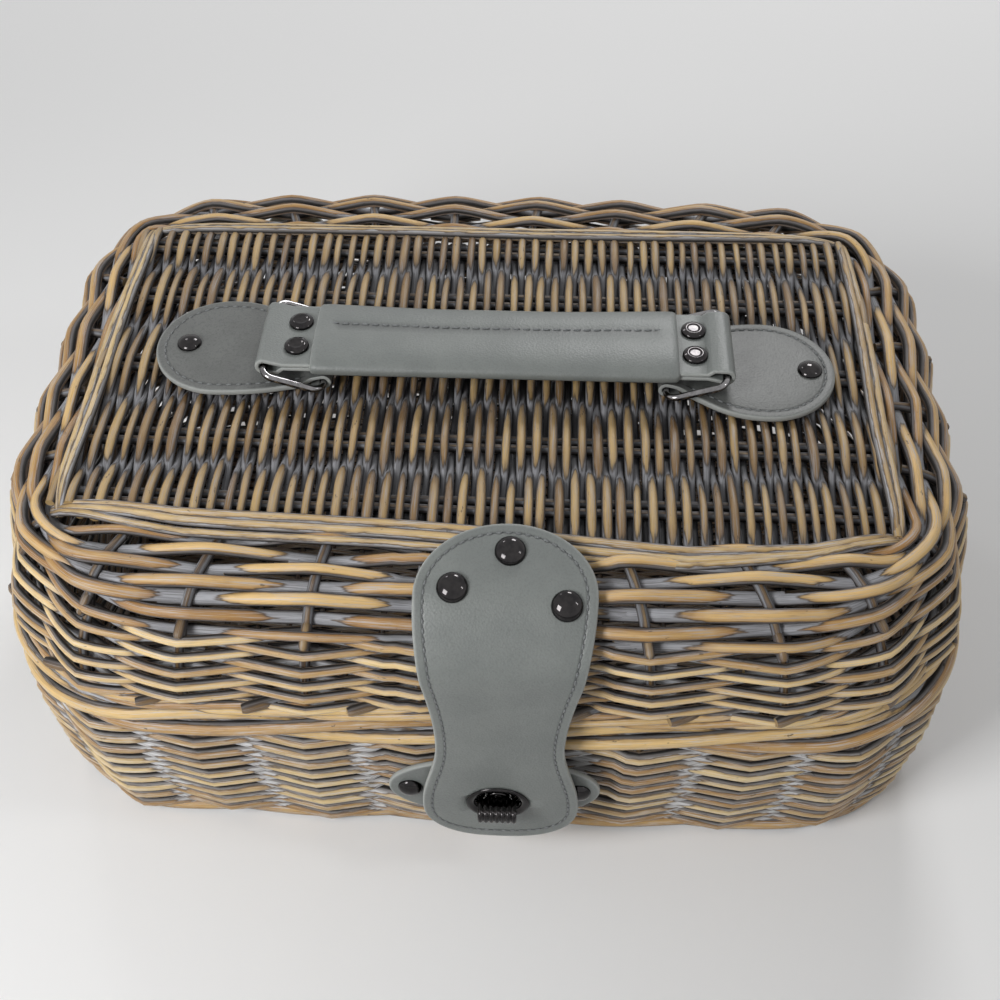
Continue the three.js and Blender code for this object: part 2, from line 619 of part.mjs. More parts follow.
// The eyelet is a spool that lines the hole, with a flange on each face of the leather.
function eyeletGeometry() {
  const barrel = EYELET_HALF_HEIGHT - HOLE_GAP;
  const flange = EYELET_HALF_HEIGHT + EYELET_FLANGE;
  const inner = barrel - EYELET_METAL;
  const face = FLAP_THICK / 2 + 0.2;
  const far = face + EYELET_METAL;
  const back = face + 0.6 * EYELET_METAL;
  const profile = [[inner, -back], [flange - 0.8, -back], [flange - 0.8, -face], [barrel, -face], [barrel, face],
    [flange, face], [flange, far - 0.4], [flange - 0.8, far], [inner + 0.4, far], [inner, far - 0.5],
    [inner, -back]].map(([r, h]) => new THREE.Vector2(r, h));
  return new THREE.LatheGeometry(profile, 18).rotateX(Math.PI)
    .scale(EYELET_HALF_WIDTH / EYELET_HALF_HEIGHT, 1, 1).translate(LOCK_X, flapMiddle, LOCK_Z);
}

// Twist lock on its leather patch

function ovalShape(halfX, halfY) {
  return new THREE.Shape().absellipse(0, 0, halfX, halfY, 0, 2 * Math.PI);
}

function roundHole(radius, x = 0) {
  return new THREE.Path().absarc(x, 0, radius, 0, 2 * Math.PI, true);
}

function makeLock() {
  const rivetAt = PATCH_RIVET_SPACING / 2;
  const patchShape = ovalShape(PATCH_HALF_WIDTH, PATCH_HALF_HEIGHT);
  patchShape.holes.push(roundHole(SHANK_RADIUS + HOLE_GAP, -rivetAt));
  patchShape.holes.push(roundHole(SHANK_RADIUS + HOLE_GAP, rivetAt));
  const patch = new THREE.ExtrudeGeometry(patchShape, { depth: PATCH_THICK, bevelEnabled: false, curveSegments: 11 });
  place('lock_patch', facingFront(patch).translate(PATCH_X, patchBack, LOCK_Z), greyLeather);

  const wallAtRivet = -(bodyPlan(LOCK_Z).halfY + STAKE_CROWN);
  const shankLong = wallAtRivet - patchFront - SEAT_GAP;
  for (const [name, side] of [['left', -1], ['right', 1]]) {
    place(`patch_rivet_${name}`, facingFront(rivet(SMALL_DOME, shankLong))
      .translate(PATCH_X + side * rivetAt, patchFront - HEAD_GAP, LOCK_Z), darkNickel);
  }

  const bore = KNOB_SHAFT_RADIUS + 0.2;
  const plateShape = ovalShape(PLATE_HALF_WIDTH, PLATE_HALF_HEIGHT);
  plateShape.holes.push(roundHole(bore));
  const bossShape = ovalShape(BOSS_RADIUS, BOSS_RADIUS);
  bossShape.holes.push(roundHole(bore));
  const options = { bevelEnabled: false, curveSegments: 12 };
  const plate = join(
    new THREE.ExtrudeGeometry(plateShape, { depth: PLATE_THICK, ...options }),
    new THREE.ExtrudeGeometry(bossShape, { depth: PLATE_THICK + BOSS_LONG, ...options }),
  );
  place('lock_plate', facingFront(plate).translate(LOCK_X, patchFront - SEAT_GAP, LOCK_Z), darkNickel);
  place('turn_knob', knobGeometry(), darkNickel);
}

// A ribbed bar across the end of a shaft
function knobGeometry() {
  const halfWidth = KNOB_WIDTH / 2;
  const section = new THREE.Shape();
  section.moveTo(-halfWidth + 1, 0);
  section.lineTo(halfWidth - 1, 0);
  section.lineTo(halfWidth, 2);
  const pitch = KNOB_WIDTH / KNOB_RIBS;
  for (let i = KNOB_RIBS - 1; i >= 0; i--) {
    const left = -halfWidth + i * pitch;
    section.lineTo(left + 0.8 * pitch, KNOB_DEPTH);
    section.lineTo(left + 0.2 * pitch, KNOB_DEPTH);
    if (i > 0) section.lineTo(left, KNOB_DEPTH - KNOB_RIB_DEPTH);
  }
  section.lineTo(-halfWidth, 2);
  const bar = new THREE.ExtrudeGeometry(section, {
    depth: KNOB_HEIGHT - 2, bevelEnabled: true, bevelThickness: 1, bevelSize: 0.5, bevelSegments: 1, bevelOffset: -0.5,
  }).translate(0, 0, 1 - KNOB_HEIGHT / 2);
  const barBack = flapFront - SEAT_GAP - EYELET_METAL - 0.6;
  const shaftLong = patchFront - barBack - SEAT_GAP - 0.3;
  const shaft = new THREE.CylinderGeometry(KNOB_SHAFT_RADIUS, KNOB_SHAFT_RADIUS, shaftLong + 2, 16)
    .translate(0, 2 - (shaftLong + 2) / 2, 0);
  return join(bar, shaft).rotateX(Math.PI).rotateY(Math.PI).translate(LOCK_X, barBack, LOCK_Z);
}

// Handle: tabs riveted to the panel, wire rings in their loops, and the strap folded round the rings

const loopRadius = WIRE_RADIUS + RUN_GAP + LOOP_LEATHER;
const tabBottom = panelTop + SEAT_GAP;
const tabBarZ = tabBottom + loopRadius;
const ringLean = THREE.MathUtils.degToRad(RING_LEAN_DEG);
const handleBarZ = tabBarZ + RING_LONG * Math.sin(ringLean);
const handleBarSpan = TAB_BAR_HALF_SPAN + RING_LONG * Math.cos(ringLean);
const gripHalfLength = handleBarSpan - STRAP_RIVET_FROM_BAR - CAP.radius - GRIP_FROM_RIVET;
const liftedLean = Math.asin(Math.sin(ringLean) + HANDLE_LIFT / RING_LONG);
const barShift = RING_LONG * (Math.cos(ringLean) - Math.cos(liftedLean));

function tabGeometry(long, splay) {
  const section = new THREE.Shape();
  section.moveTo(long, 0);
  section.lineTo(0, 0);
  section.absarc(0, loopRadius, loopRadius, -Math.PI / 2, Math.PI * 0.08, true);
  section.lineTo(loopRadius + 5, TAB_THICK);
  section.lineTo(long, TAB_THICK);
  section.holes.push(new THREE.Path().absarc(0, loopRadius, WIRE_RADIUS + RUN_GAP, 0, 2 * Math.PI, false));
  const deep = 4 * TAB_HALF_WIDTH;
  const slab = new THREE.ExtrudeGeometry(section, { depth: deep, bevelEnabled: false, curveSegments: 8 })
    .rotateX(Math.PI / 2).translate(0, deep / 2, 0);

  const roundFrom = long - TAB_HALF_WIDTH;
  const outline = new THREE.Shape();
  outline.moveTo(-2 * loopRadius, -TAB_NECK_HALF_WIDTH);
  outline.lineTo(TAB_NECK_LONG, -TAB_NECK_HALF_WIDTH);
  outline.bezierCurveTo(TAB_NECK_LONG + TAB_NECK_EASE, -TAB_NECK_HALF_WIDTH, roundFrom - TAB_OVAL_EASE, splay - TAB_HALF_WIDTH,
    roundFrom, splay - TAB_HALF_WIDTH);
  outline.absarc(roundFrom, splay, TAB_HALF_WIDTH, -Math.PI / 2, Math.PI / 2);
  outline.bezierCurveTo(roundFrom - TAB_OVAL_EASE, splay + TAB_HALF_WIDTH, TAB_NECK_LONG + TAB_NECK_EASE, TAB_NECK_HALF_WIDTH,
    TAB_NECK_LONG, TAB_NECK_HALF_WIDTH);
  outline.lineTo(-2 * loopRadius, TAB_NECK_HALF_WIDTH);
  const block = new THREE.ExtrudeGeometry(outline, { depth: 6 * loopRadius, bevelEnabled: false, curveSegments: 8 })
    .translate(0, 0, -2 * loopRadius);
  return cut(common(slab, block), punch().translate(TAB_RIVET_FROM_BAR, splay, 0));
}

function ringGeometry() {
  const line = plan(RING_LONG / 2, RING_WIDE / 2, RING_CORNER, 0);
  return rodRing(line, 0, WIRE_RADIUS, ROD_SIDES, bendShares(line, 2, 3)).translate(RING_LONG / 2, 0, 0);
}

function strapGeometry() {
  const pocket = WIRE_RADIUS + RUN_GAP + 0.15;
  const outside = pocket + STRAP_LAYER;
  const bar = handleBarSpan;
  const pocketIn = bar - barShift - 0.3;
  const rise = bar - STRAP_RIVET_FROM_BAR + CAP.radius + HOLE_GAP;
  const section = new THREE.Shape();
  section.moveTo(-rise, -STRAP_LAYER);
  section.lineTo(rise, -STRAP_LAYER);
  section.lineTo(rise + 4, -outside);
  section.absarc(bar, 0, outside, -Math.PI / 2, Math.PI / 2);
  section.lineTo(rise + 4, outside);
  section.lineTo(rise, STRAP_LAYER);
  section.lineTo(-rise, STRAP_LAYER);
  section.lineTo(-rise - 4, outside);
  section.absarc(-bar, 0, outside, Math.PI / 2, 1.5 * Math.PI);
  section.lineTo(-rise - 4, -outside);
  for (const side of [-1, 1]) {
    const slot = new THREE.Path();
    slot.moveTo(side * pocketIn, side * pocket);
    slot.lineTo(side * bar, side * pocket);
    slot.absarc(side * bar, 0, pocket, side * Math.PI / 2, -side * Math.PI / 2, true);
    slot.lineTo(side * pocketIn, -side * pocket);
    slot.absarc(side * pocketIn, 0, pocket, -side * Math.PI / 2, side * Math.PI / 2, true);
    section.holes.push(slot);
  }
  const slab = new THREE.ExtrudeGeometry(section, {
    depth: 2 * STRAP_HALF_WIDTH, bevelEnabled: false, curveSegments: 8,
  }).rotateX(Math.PI / 2).translate(0, STRAP_HALF_WIDTH, 0);
  const holes = [];
  for (const side of [-1, 1]) {
    for (const row of [-0.5, 0.5]) {
      holes.push(punch().translate(side * (bar - STRAP_RIVET_FROM_BAR), row * STRAP_RIVET_SPACING, 0));
    }
  }
  return cut(slab, ...holes);
}

function gripGeometry() {
  const slotHalf = STRAP_LAYER + SEAT_GAP;
  const low = slotHalf + GRIP_WALL;
  const edge = 2.6;
  const section = new THREE.Shape();
  section.moveTo(-GRIP_HALF_WIDTH + edge, -low);
  section.lineTo(GRIP_HALF_WIDTH - edge, -low);
  section.quadraticCurveTo(GRIP_HALF_WIDTH, -low, GRIP_HALF_WIDTH, 0);
  section.quadraticCurveTo(GRIP_HALF_WIDTH, low, GRIP_HALF_WIDTH - 2 * edge, low + 0.4 * GRIP_CROWN);
  section.quadraticCurveTo(0, low + 1.6 * GRIP_CROWN, -GRIP_HALF_WIDTH + 2 * edge, low + 0.4 * GRIP_CROWN);
  section.quadraticCurveTo(-GRIP_HALF_WIDTH, low, -GRIP_HALF_WIDTH, 0);
  section.quadraticCurveTo(-GRIP_HALF_WIDTH, -low, -GRIP_HALF_WIDTH + edge, -low);
  const slot = new THREE.Path();
  const slotWide = STRAP_HALF_WIDTH + SEAT_GAP;
  slot.moveTo(-slotWide, -slotHalf);
  slot.lineTo(-slotWide, slotHalf);
  slot.lineTo(slotWide, slotHalf);
  slot.lineTo(slotWide, -slotHalf);
  section.holes.push(slot);
  return new THREE.ExtrudeGeometry(section, { depth: 2 * gripHalfLength, bevelEnabled: false, curveSegments: 6 })
    .rotateX(Math.PI / 2).rotateZ(Math.PI / 2).translate(-gripHalfLength, 0, 0);
}

function makeHandle() {
  const handle = new THREE.Group();
  handle.position.set(HANDLE_X, HANDLE_Y, 0);
  part.add(handle);
  for (const [name, side] of [['left', -1], ['right', 1]]) {
    const half = new THREE.Group();
    half.rotation.z = side < 0 ? Math.PI : 0;
    handle.add(half);
    place(`tab_${name}`, tabGeometry(TAB_LONG[name], side * TAB_ASKEW[name]), greyLeather, half)
      .position.set(TAB_BAR_HALF_SPAN, 0, tabBottom);
    place(`tab_rivet_${name}`, rivet(SMALL_DOME, TAB_THICK + HEAD_GAP), darkNickel, half)
      .position.set(TAB_BAR_HALF_SPAN + TAB_RIVET_FROM_BAR, side * TAB_ASKEW[name], tabBottom + TAB_THICK + HEAD_GAP);
    const ring = place(`wire_ring_${name}`, ringGeometry(), darkNickel, half);
    ring.position.set(TAB_BAR_HALF_SPAN, 0, tabBarZ);
    ring.rotation.y = -ringLean;
    for (const [end, row] of [['front', -side], ['back', side]]) {
      place(`strap_rivet_${name}_${end}`, rivet(CAP, 2 * STRAP_LAYER), darkNickel, half).position.set(
        handleBarSpan - STRAP_RIVET_FROM_BAR,
        (row * STRAP_RIVET_SPACING) / 2,
        handleBarZ + STRAP_LAYER + HEAD_GAP,
      );
    }
  }
  place('handle_strap', strapGeometry(), greyLeather, handle).position.z = handleBarZ;
  place('grip_sleeve', gripGeometry(), greyLeather, handle).position.z = handleBarZ;
}

// Hinge straps: one leaf on the lid's skirt and one on the body, with the fold between them

const hingeInner = HINGE_STRAP_X - HINGE_STRAP_HALF_WIDTH;
const backAt = (p, x) => p.halfY - p.bow * (x / (p.halfX - p.corner)) ** 2;
const hingeBack = backAt(lidRimPlan, hingeInner) + STAKE_CROWN + SEAT_GAP;

function makeHinges() {
  const middle = hingeBack + HINGE_STRAP_THICK / 2;
  const top = FOLD_Z + HINGE_STRAP_UP;
  const bottom = FOLD_Z - HINGE_STRAP_DOWN;
  const onWall = (z) => backAt(bodyPlan(z), hingeInner) + STAKE_CROWN + SEAT_GAP + HINGE_STRAP_THICK / 2;
  const upperPath = new THREE.Path().moveTo(middle, FOLD_Z + FOLD_GAP / 2).lineTo(middle, top);
  const lowerPath = new THREE.Path().moveTo(middle, FOLD_Z - FOLD_GAP / 2)
    .lineTo(middle, FOLD_Z - 5).lineTo(onWall(wallTop), wallTop - 2).lineTo(onWall(bottom) + 0.4, bottom);
  const rounded = (length) => (at) => {
    const left = Math.min(HINGE_STRAP_HALF_WIDTH, length - at);
    return HINGE_STRAP_HALF_WIDTH * Math.sqrt(1 - (1 - left / HINGE_STRAP_HALF_WIDTH) ** 2);
  };
  for (const [name, side] of [['left', -1], ['right', 1]]) {
    for (const [leaf, path] of [['upper', upperPath], ['lower', lowerPath]]) {
      const length = path.getLength();
      const roundFrom = length - HINGE_STRAP_HALF_WIDTH;
      const stations = [0, ...path.curves.slice(0, -1).map((_, i) => path.getCurveLengths()[i]),
        ...[0, 0.3, 0.55, 0.76, 0.9, 0.985].map((t) => roundFrom + t * HINGE_STRAP_HALF_WIDTH)];
      const seat = seatOn(path, length - HINGE_RIVET_IN, side * HINGE_STRAP_X, 1);
      const sheet = leatherSheet(path, () => side * HINGE_STRAP_X, rounded(length), HINGE_STRAP_THICK, stations);
      place(`hinge_strap_${name}_${leaf}`, cut(sheet, seat(punch(), 0)), greyLeather);
      place(`hinge_rivet_${name}_${leaf}`,
        seat(rivet(SMALL_DOME, HINGE_STRAP_THICK + 0.4), HINGE_STRAP_THICK / 2 + HEAD_GAP), darkNickel);
    }
  }
}

makeBody();
makeLid();
makeFlap();
makeLock();
makeHandle();
makeHinges();

export default part;
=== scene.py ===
# %% [markdown]
# A wicker picnic basket, dressed for its portrait.
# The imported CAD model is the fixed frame: it says where each piece sits and how it moves.
# This lesson lays real willow, leather and metal over that frame, one piece at a time.

# %% Load the frame
import math
import bpy
import bmesh
import numpy as np
from mathutils import Matrix, Vector


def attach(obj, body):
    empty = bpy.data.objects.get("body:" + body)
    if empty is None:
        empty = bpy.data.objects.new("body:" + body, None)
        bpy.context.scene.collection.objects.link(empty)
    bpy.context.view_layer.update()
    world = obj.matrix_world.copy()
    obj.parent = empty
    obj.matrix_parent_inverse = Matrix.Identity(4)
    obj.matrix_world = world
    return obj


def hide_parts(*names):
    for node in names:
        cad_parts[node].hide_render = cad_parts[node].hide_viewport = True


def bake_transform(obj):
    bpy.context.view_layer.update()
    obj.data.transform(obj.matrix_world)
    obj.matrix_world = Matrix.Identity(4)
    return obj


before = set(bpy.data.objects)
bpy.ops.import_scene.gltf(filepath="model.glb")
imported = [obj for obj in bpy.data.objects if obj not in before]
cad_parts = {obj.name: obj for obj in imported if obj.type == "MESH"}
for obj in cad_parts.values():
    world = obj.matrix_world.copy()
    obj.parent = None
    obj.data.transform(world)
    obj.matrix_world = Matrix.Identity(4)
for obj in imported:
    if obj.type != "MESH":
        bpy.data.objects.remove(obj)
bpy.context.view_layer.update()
MM = 0.001
rng = np.random.default_rng(20)

# %% [markdown]
# The camera stands above and in front of the basket and looks down at it.
# Its place, tilt and focal length were worked out from the corners of the panel and the rim,
# so that a point of the frame lands where the photograph has it.

# %% Camera
IMAGE_WIDTH, FOCAL_PIXELS, SENSOR_WIDTH = 1000, 1400.3, 36
CAMERA_MM = Vector((24.247, -452.685, 568.510))
TILT, YAW, ROLL = 0.820861, -0.045381, -0.006836


def placed(name, data):
    """A new object in the scene."""
    made = bpy.data.objects.new(name, data)
    bpy.context.scene.collection.objects.link(made)
    return made


forward = Vector((math.sin(YAW) * math.cos(TILT), math.cos(YAW) * math.cos(TILT), -math.sin(TILT)))
level_right = Vector((math.cos(YAW), -math.sin(YAW), 0))
level_up = level_right.cross(forward)
right = math.cos(ROLL) * level_right + math.sin(ROLL) * level_up
up = math.cos(ROLL) * level_up - math.sin(ROLL) * level_right
camera_data = bpy.data.cameras.new("camera")
camera_data.sensor_width = SENSOR_WIDTH
camera_data.lens = SENSOR_WIDTH * FOCAL_PIXELS / IMAGE_WIDTH
camera = placed("camera", camera_data)
camera.matrix_world = Matrix.Translation(CAMERA_MM * MM) @ Matrix((right, up, -forward)).transposed().to_4x4()
bpy.context.scene.camera = camera
print("lens", round(camera_data.lens, 2), "mm")

# %% [markdown]
# A shader is built from nodes. A recipe is a tree of them that is being wired up, and a signal is what
# comes out of a node: adding or multiplying signals adds the nodes that do so, which keeps the recipes
# below short.

# %% Signals and recipes
class Signal:
    """A node's output. It is reckoned with like a number."""

    def __init__(self, recipe, socket):
        self.recipe, self.socket = recipe, socket

    def __add__(self, other):
        return self.recipe.calc("ADD", self, other)

    def __sub__(self, other):
        return self.recipe.calc("SUBTRACT", self, other)

    def __rsub__(self, other):
        return self.recipe.calc("SUBTRACT", other, self)

    def __mul__(self, other):
        return self.recipe.calc("MULTIPLY", self, other)

    def __truediv__(self, other):
        return self.recipe.calc("DIVIDE", self, other)

    def __rtruediv__(self, other):
        return self.recipe.calc("DIVIDE", other, self)


class Recipe:
    """A node tree that is being wired up."""

    def __init__(self, tree):
        self.tree = tree

    def put(self, value, socket):
        """Wires a signal to a socket, or sets a plain value on it."""
        if isinstance(value, Signal):
            self.tree.links.new(value.socket, socket)
        else:
            socket.default_value = value

    def node(self, kind, inputs=None, **settings):
        """Adds a node. inputs maps a socket's name or number to a signal or a value."""
        made = self.tree.nodes.new(kind)
        for key, value in settings.items():
            setattr(made, key, value)
        for key, value in (inputs or {}).items():
            self.put(value, made.inputs[key])
        return made

    def pick(self, made, *outputs):
        """Some of the outputs of a node, as signals."""
        return [Signal(self, made.outputs[output]) for output in outputs]

    def add(self, kind, inputs=None, output=0, **settings):
        """Adds a node and gives one of its outputs."""
        return self.pick(self.node(kind, inputs, **settings), output)[0]

    def calc(self, operation, *values):
        return self.add("ShaderNodeMath", dict(enumerate(values)), operation=operation)

    def vector(self, operation, *values):
        output = "Value" if operation in ("DOT_PRODUCT", "LENGTH") else "Vector"
        return self.add("ShaderNodeVectorMath", dict(enumerate(values)), output, operation=operation)

    def join(self, x, y, z):
        return self.add("ShaderNodeCombineXYZ", {0: x, 1: y, 2: z})

    def split(self, vector):
        return self.pick(self.node("ShaderNodeSeparateXYZ", {0: vector}), 0, 1, 2)

    def mix(self, factor, a, b):
        return self.add("ShaderNodeMix", {0: factor, 6: a, 7: b}, 2, data_type="RGBA")

    def ramp(self, value, low, high, to_low=0.0, to_high=1.0):
        """Rises smoothly from to_low to to_high while value goes from low to high."""
        return self.add("ShaderNodeMapRange", {0: value, 1: low, 2: high, 3: to_low, 4: to_high},
                        interpolation_type="SMOOTHSTEP")

    def noise(self, place, scale, detail=3.0, roughness=0.55):
        return self.add("ShaderNodeTexNoise",
                        {"Vector": place, "Scale": scale, "Detail": detail, "Roughness": roughness})

    def attribute(self, name, output="Fac"):
        return self.add("ShaderNodeAttribute", output=output, attribute_name=name)

    def on_object(self):
        return self.add("ShaderNodeTexCoord", output="Object")


print("signals and recipes ready")

# %% [markdown]
# An effect that several finishes share, such as washed willow, becomes a node group: a tree with inputs of
# its own. A finish is then a material that holds the group and sets its colours, so a change to the effect
# reaches every finish at once.

# %% Groups and materials
def group(name, kind, inputs, outputs):
    """A new node group: its recipe, its inputs as signals and its output sockets."""
    tree = bpy.data.node_groups.new(name, kind)
    for way, sockets in (("INPUT", inputs), ("OUTPUT", outputs)):
        for socket_name, socket_type in sockets.items():
            tree.interface.new_socket(socket_name, in_out=way, socket_type="NodeSocket" + socket_type)
    recipe = Recipe(tree)
    given = {socket.name: Signal(recipe, socket) for socket in recipe.node("NodeGroupInput").outputs}
    return recipe, given, recipe.node("NodeGroupOutput").inputs


def effect(name, colours, numbers):
    """A node group that finishes share: it gives a colour, a roughness and the height of a relief."""
    inputs = {**dict.fromkeys(colours, "Color"), **dict.fromkeys(numbers, "Float")}
    return group(name, "ShaderNodeTree", inputs, {"Color": "Color", "Roughness": "Float", "Height": "Float"})


def srgb(r, g, b):
    """A colour as it looks on a screen, 0 to 255, in the linear values that Blender works with."""
    def linear(c):
        return c / 12.92 if c <= 0.04045 else ((c + 0.055) / 1.055) ** 2.4
    return (*(linear(c / 255) for c in (r, g, b)), 1.0)


def new_material(name):
    """A material, its recipe and its shader's sockets."""
    material = bpy.data.materials.new(name)
    material.use_nodes = True
    return material, Recipe(material.node_tree), material.node_tree.nodes["Principled BSDF"].inputs


def surface(name, effect_tree, values, bump, deep):
    """A material that takes its colour, roughness and relief from an effect, and its shader's sockets."""
    material, recipe, shader = new_material(name)
    made = recipe.node("ShaderNodeGroup", node_tree=effect_tree)
    for key, value in values.items():
        made.inputs[key].default_value = srgb(*value) if isinstance(value, tuple) else value
    colour, roughness, height = recipe.pick(made, "Color", "Roughness", "Height")
    relief = recipe.add("ShaderNodeBump", {"Strength": bump, "Distance": deep, "Height": height})
    for key, value in (("Base Color", colour), ("Roughness", roughness), ("Normal", relief)):
        recipe.put(value, shader[key])
    return material, shader


print("node helpers ready")

# %% [markdown]
# Willow in this basket was stained brown, painted with a pale wash and then rubbed down.
# Where a rod stands proud the honey wood shows, with a dark line round it; in the hollows the wash stays,
# and the flanks hold dark stain, which also stands in for their shade. Where the skin lies deep or turns into
# the gaps, it is painted near black as shade. The side that faces into the basket was only brushed thinly
# and gets no painted shade.
# Each rod carries how proud its skin stands, so one group can colour every woven piece by the same rule.

# %% Willow group
WILLOW_COLOURS = ("Straw", "Honey", "Wash", "Thin wash", "Stain", "Shade and specks")
WILLOW_NUMBERS = ("Rubbed above", "Raggedness", "Speckle", "Shade below")


def willow_group():
    recipe, given, result = effect("willow", WILLOW_COLOURS, WILLOW_NUMBERS)
    mix, ramp, noise = recipe.mix, recipe.ramp, recipe.noise
    straw, honey, wash, thin_wash, stain, shade_and_speck_colour = (given[name] for name in WILLOW_COLOURS)
    proud = recipe.attribute("proud") * 1000.0
    along, tone = recipe.attribute("along"), recipe.attribute("tone")
    x, y, _ = recipe.split(recipe.attribute("round", "Vector"))

    def on_rod(across, per_metre):
        """Coordinates that wrap round the rod and run along it."""
        return recipe.join(x * across, y * across, along * per_metre)

    streak = noise(on_rod(4.2, 26.0), 1.6, 4.0, 0.6)
    fibre = noise(on_rod(9.0, 60.0), 1.6, 3.0, 0.6)
    blotch = noise(on_rod(0.9, 95.0), 1.0, 3.0)
    film = noise(on_rod(5.0, 40.0), 1.3, 3.0, 0.7)
    pit = ramp(noise(on_rod(1.6, 260.0), 1.0, 2.0), 0.69, 0.76)

    # level says how far inside the rubbed patch a point lies: the crest of a rod that stands proud
    ragged = (blotch - 0.5) * given["Raggedness"]
    worn = proud + ragged - given["Rubbed above"] + (streak - 0.5) * 1.4
    turned = recipe.attribute("turned") + (fibre - 0.5) * 0.7
    crest = (1.02 - turned) * 2.6
    level = recipe.calc("SMOOTH_MIN", worn, crest + ragged * 0.4, 0.3)
    rubbed = ramp(level, -0.15, 0.15)
    dark_line = recipe.calc("EXPONENT", level * level * -22.0)

    lean = tone * 0.6 + streak * 0.5 - ramp(level, 0.2, 2.6) * 0.3
    wood = mix(ramp(lean, 0.05, 0.75), straw, honey)
    wood = mix(ramp(level, 0.9, 0.0, 0.0, 0.45), wood, stain)
    wood = mix(ramp(fibre, 0.54, 0.72, 0.0, 0.45), wood, stain)
    wood = mix(ramp(film, 0.5, 0.64, 0.0, 0.65), wood, wash)

    painted = mix(ramp(streak * 0.8 + fibre * 0.4, 0.4, 0.72, 0.2, 1.0), thin_wash, wash)
    not_inside = ramp(turned, 2.3, 1.85)
    # flanks that turn away from the wall take dark stain: partly real stain, partly painted shade
    painted = mix(ramp(turned, 0.85, 1.15, 0.0, 0.6) * not_inside, painted, stain)
    # painted shade: near black where the skin lies deep below the rod's line or turns into the gap between rods
    deep = ramp(given["Shade below"] - proud, -1.8, 1.8)
    painted_shade = recipe.calc("MAXIMUM", deep, ramp(turned, 1.15, 1.65))
    painted = mix(painted_shade * not_inside, painted, shade_and_speck_colour)
    painted = mix((1.0 - not_inside) * ramp(streak, 0.62, 0.4, 0.25, 0.85), painted, honey)

    colour = mix(rubbed, painted, wood)
    colour = mix(dark_line * 0.8, colour, stain)
    # small dark specks in the wood, in the same near-black colour as the painted shade
    colour = mix(pit * given["Speckle"], colour, shade_and_speck_colour)
    colour = mix(recipe.attribute("cut") * 0.85, colour, straw)
    recipe.put(colour, result["Color"])
    recipe.put(rubbed * -0.28 + 0.72, result["Roughness"])
    recipe.put(streak * 0.5 + fibre * 0.4 + rubbed * 0.3 - pit * 0.5, result["Height"])
    return recipe.tree


willow = willow_group()
print("willow group has", len(willow.nodes), "nodes")

# %% [markdown]
# One group gives seven finishes, because one kind of rod was used for the whole basket. They differ in how
# far the rods were rubbed, in how much wash was left and in how deep and dark their painted shade lies, which
# was tuned until the tone of each part came near the photograph's.

# %% Willow materials
# the last plain colour is the near black of painted shade, which the specks share
PLAIN_WASH_STAIN_SHADE = ((186, 187, 191), (100, 96, 90), (62, 46, 30), (26, 23, 21))
WILLOW_SPECULAR = 0.45


def willow_material(name, above, ragged, straw, honey, *wash_and_shade, speckle=0.6, deep=-4.0):
    """The colours after honey are the wash, thin wash, stain and the near black of painted shade and specks, as far
    as they aren't the plain ones. deep is how far below the rod's line the painted shade begins.
    """
    colours = (straw, honey, *wash_and_shade, *PLAIN_WASH_STAIN_SHADE[len(wash_and_shade):])
    values = {**dict(zip(WILLOW_COLOURS, colours)), **dict(zip(WILLOW_NUMBERS, (above, ragged, speckle, deep)))}
    material, shader = surface(name, willow, values, 0.5, 0.0003)
    shader["Specular IOR Level"].default_value = WILLOW_SPECULAR
    return material


skirt_willow = willow_material("skirt_willow", 0.3, 2.2, (224, 196, 142), (166, 130, 80), deep=-4.6)
shoulder_willow = willow_material("shoulder_willow", 0.3, 2.2, (210, 176, 118), (150, 112, 64),
                                  (166, 167, 172), (92, 90, 88), deep=-4.6)
body_willow = willow_material("body_willow", 1.9, 4.2, (214, 190, 142), (156, 122, 78),
                              (206, 206, 208), (112, 106, 98), deep=-4.8)
# the panel's painted shade begins close under the strands' line and is almost black, so strands that dive under the
# cross rods are painted dark
panel_willow = willow_material("panel_willow", 1.5, 1.8, (178, 150, 102), (116, 90, 56),
                               (138, 138, 142), (58, 57, 58), (34, 27, 20), (7, 6, 7), deep=-0.4)
border_willow = willow_material("border_willow", 1.0, 2.8, (214, 182, 124), (158, 120, 70), speckle=0.8)
stake_willow = willow_material("stake_willow", 1.4, 1.6, (150, 126, 88), (108, 84, 54),
                               (132, 134, 139), (64, 63, 64))
frame_willow = willow_material("frame_willow", 0.8, 2.4, (214, 188, 136), (156, 124, 76))
print("willow finishes", [m.name for m in bpy.data.materials if "willow" in m.name])

# %% [markdown]
# The basket's walls follow round-cornered plans that change with height, the same ones as the frame's.
# A plan is six numbers: half width, half depth, corner radius, bow of the long sides, and the middle's x
# and y. A share from 0 to 1 says how far round a plan a point lies, from the middle of the front,
# anticlockwise.

# %% Plans
BODY_HEIGHT = 105.0
KNEE_Z, PANEL_EDGE_Z, LID_WALL_BOTTOM = 150.0, 169.5, 110.8
WALL_BOTTOM, WALL_TOP = 7.23, 86.36
GROW = np.array([1.0, 1.0, 1.0, 0, 0, 0])
RIM = np.array([200.0, 141, 70, 2, 0, 0])
FOOT = np.array([194.5, 125.5, 56, 2, -0.5, 0])
LID_RIM = np.array([199.0, 144, 76, 2, 0, 0])
KNEE = np.array([195.0, 142, 90, 2, 0, 1])
EDGE = np.array([167.5, 98, 12, 4, -2, -4.5])
PANEL_HALF_X, PANEL_HALF_Y = EDGE[:2] - 7.4
PANEL_X, PANEL_Y = EDGE[4:]


def sides_of(p):
    """The straight runs and corner arcs of a plan: where each starts along it, and the whole length."""
    a, b, arc = p[0] - p[2], p[1] - p[2], p[2] * math.pi / 2
    return a, b, np.concatenate([[0], np.cumsum([a, arc, 2 * b, arc, 2 * a, arc, 2 * b, arc, a])])


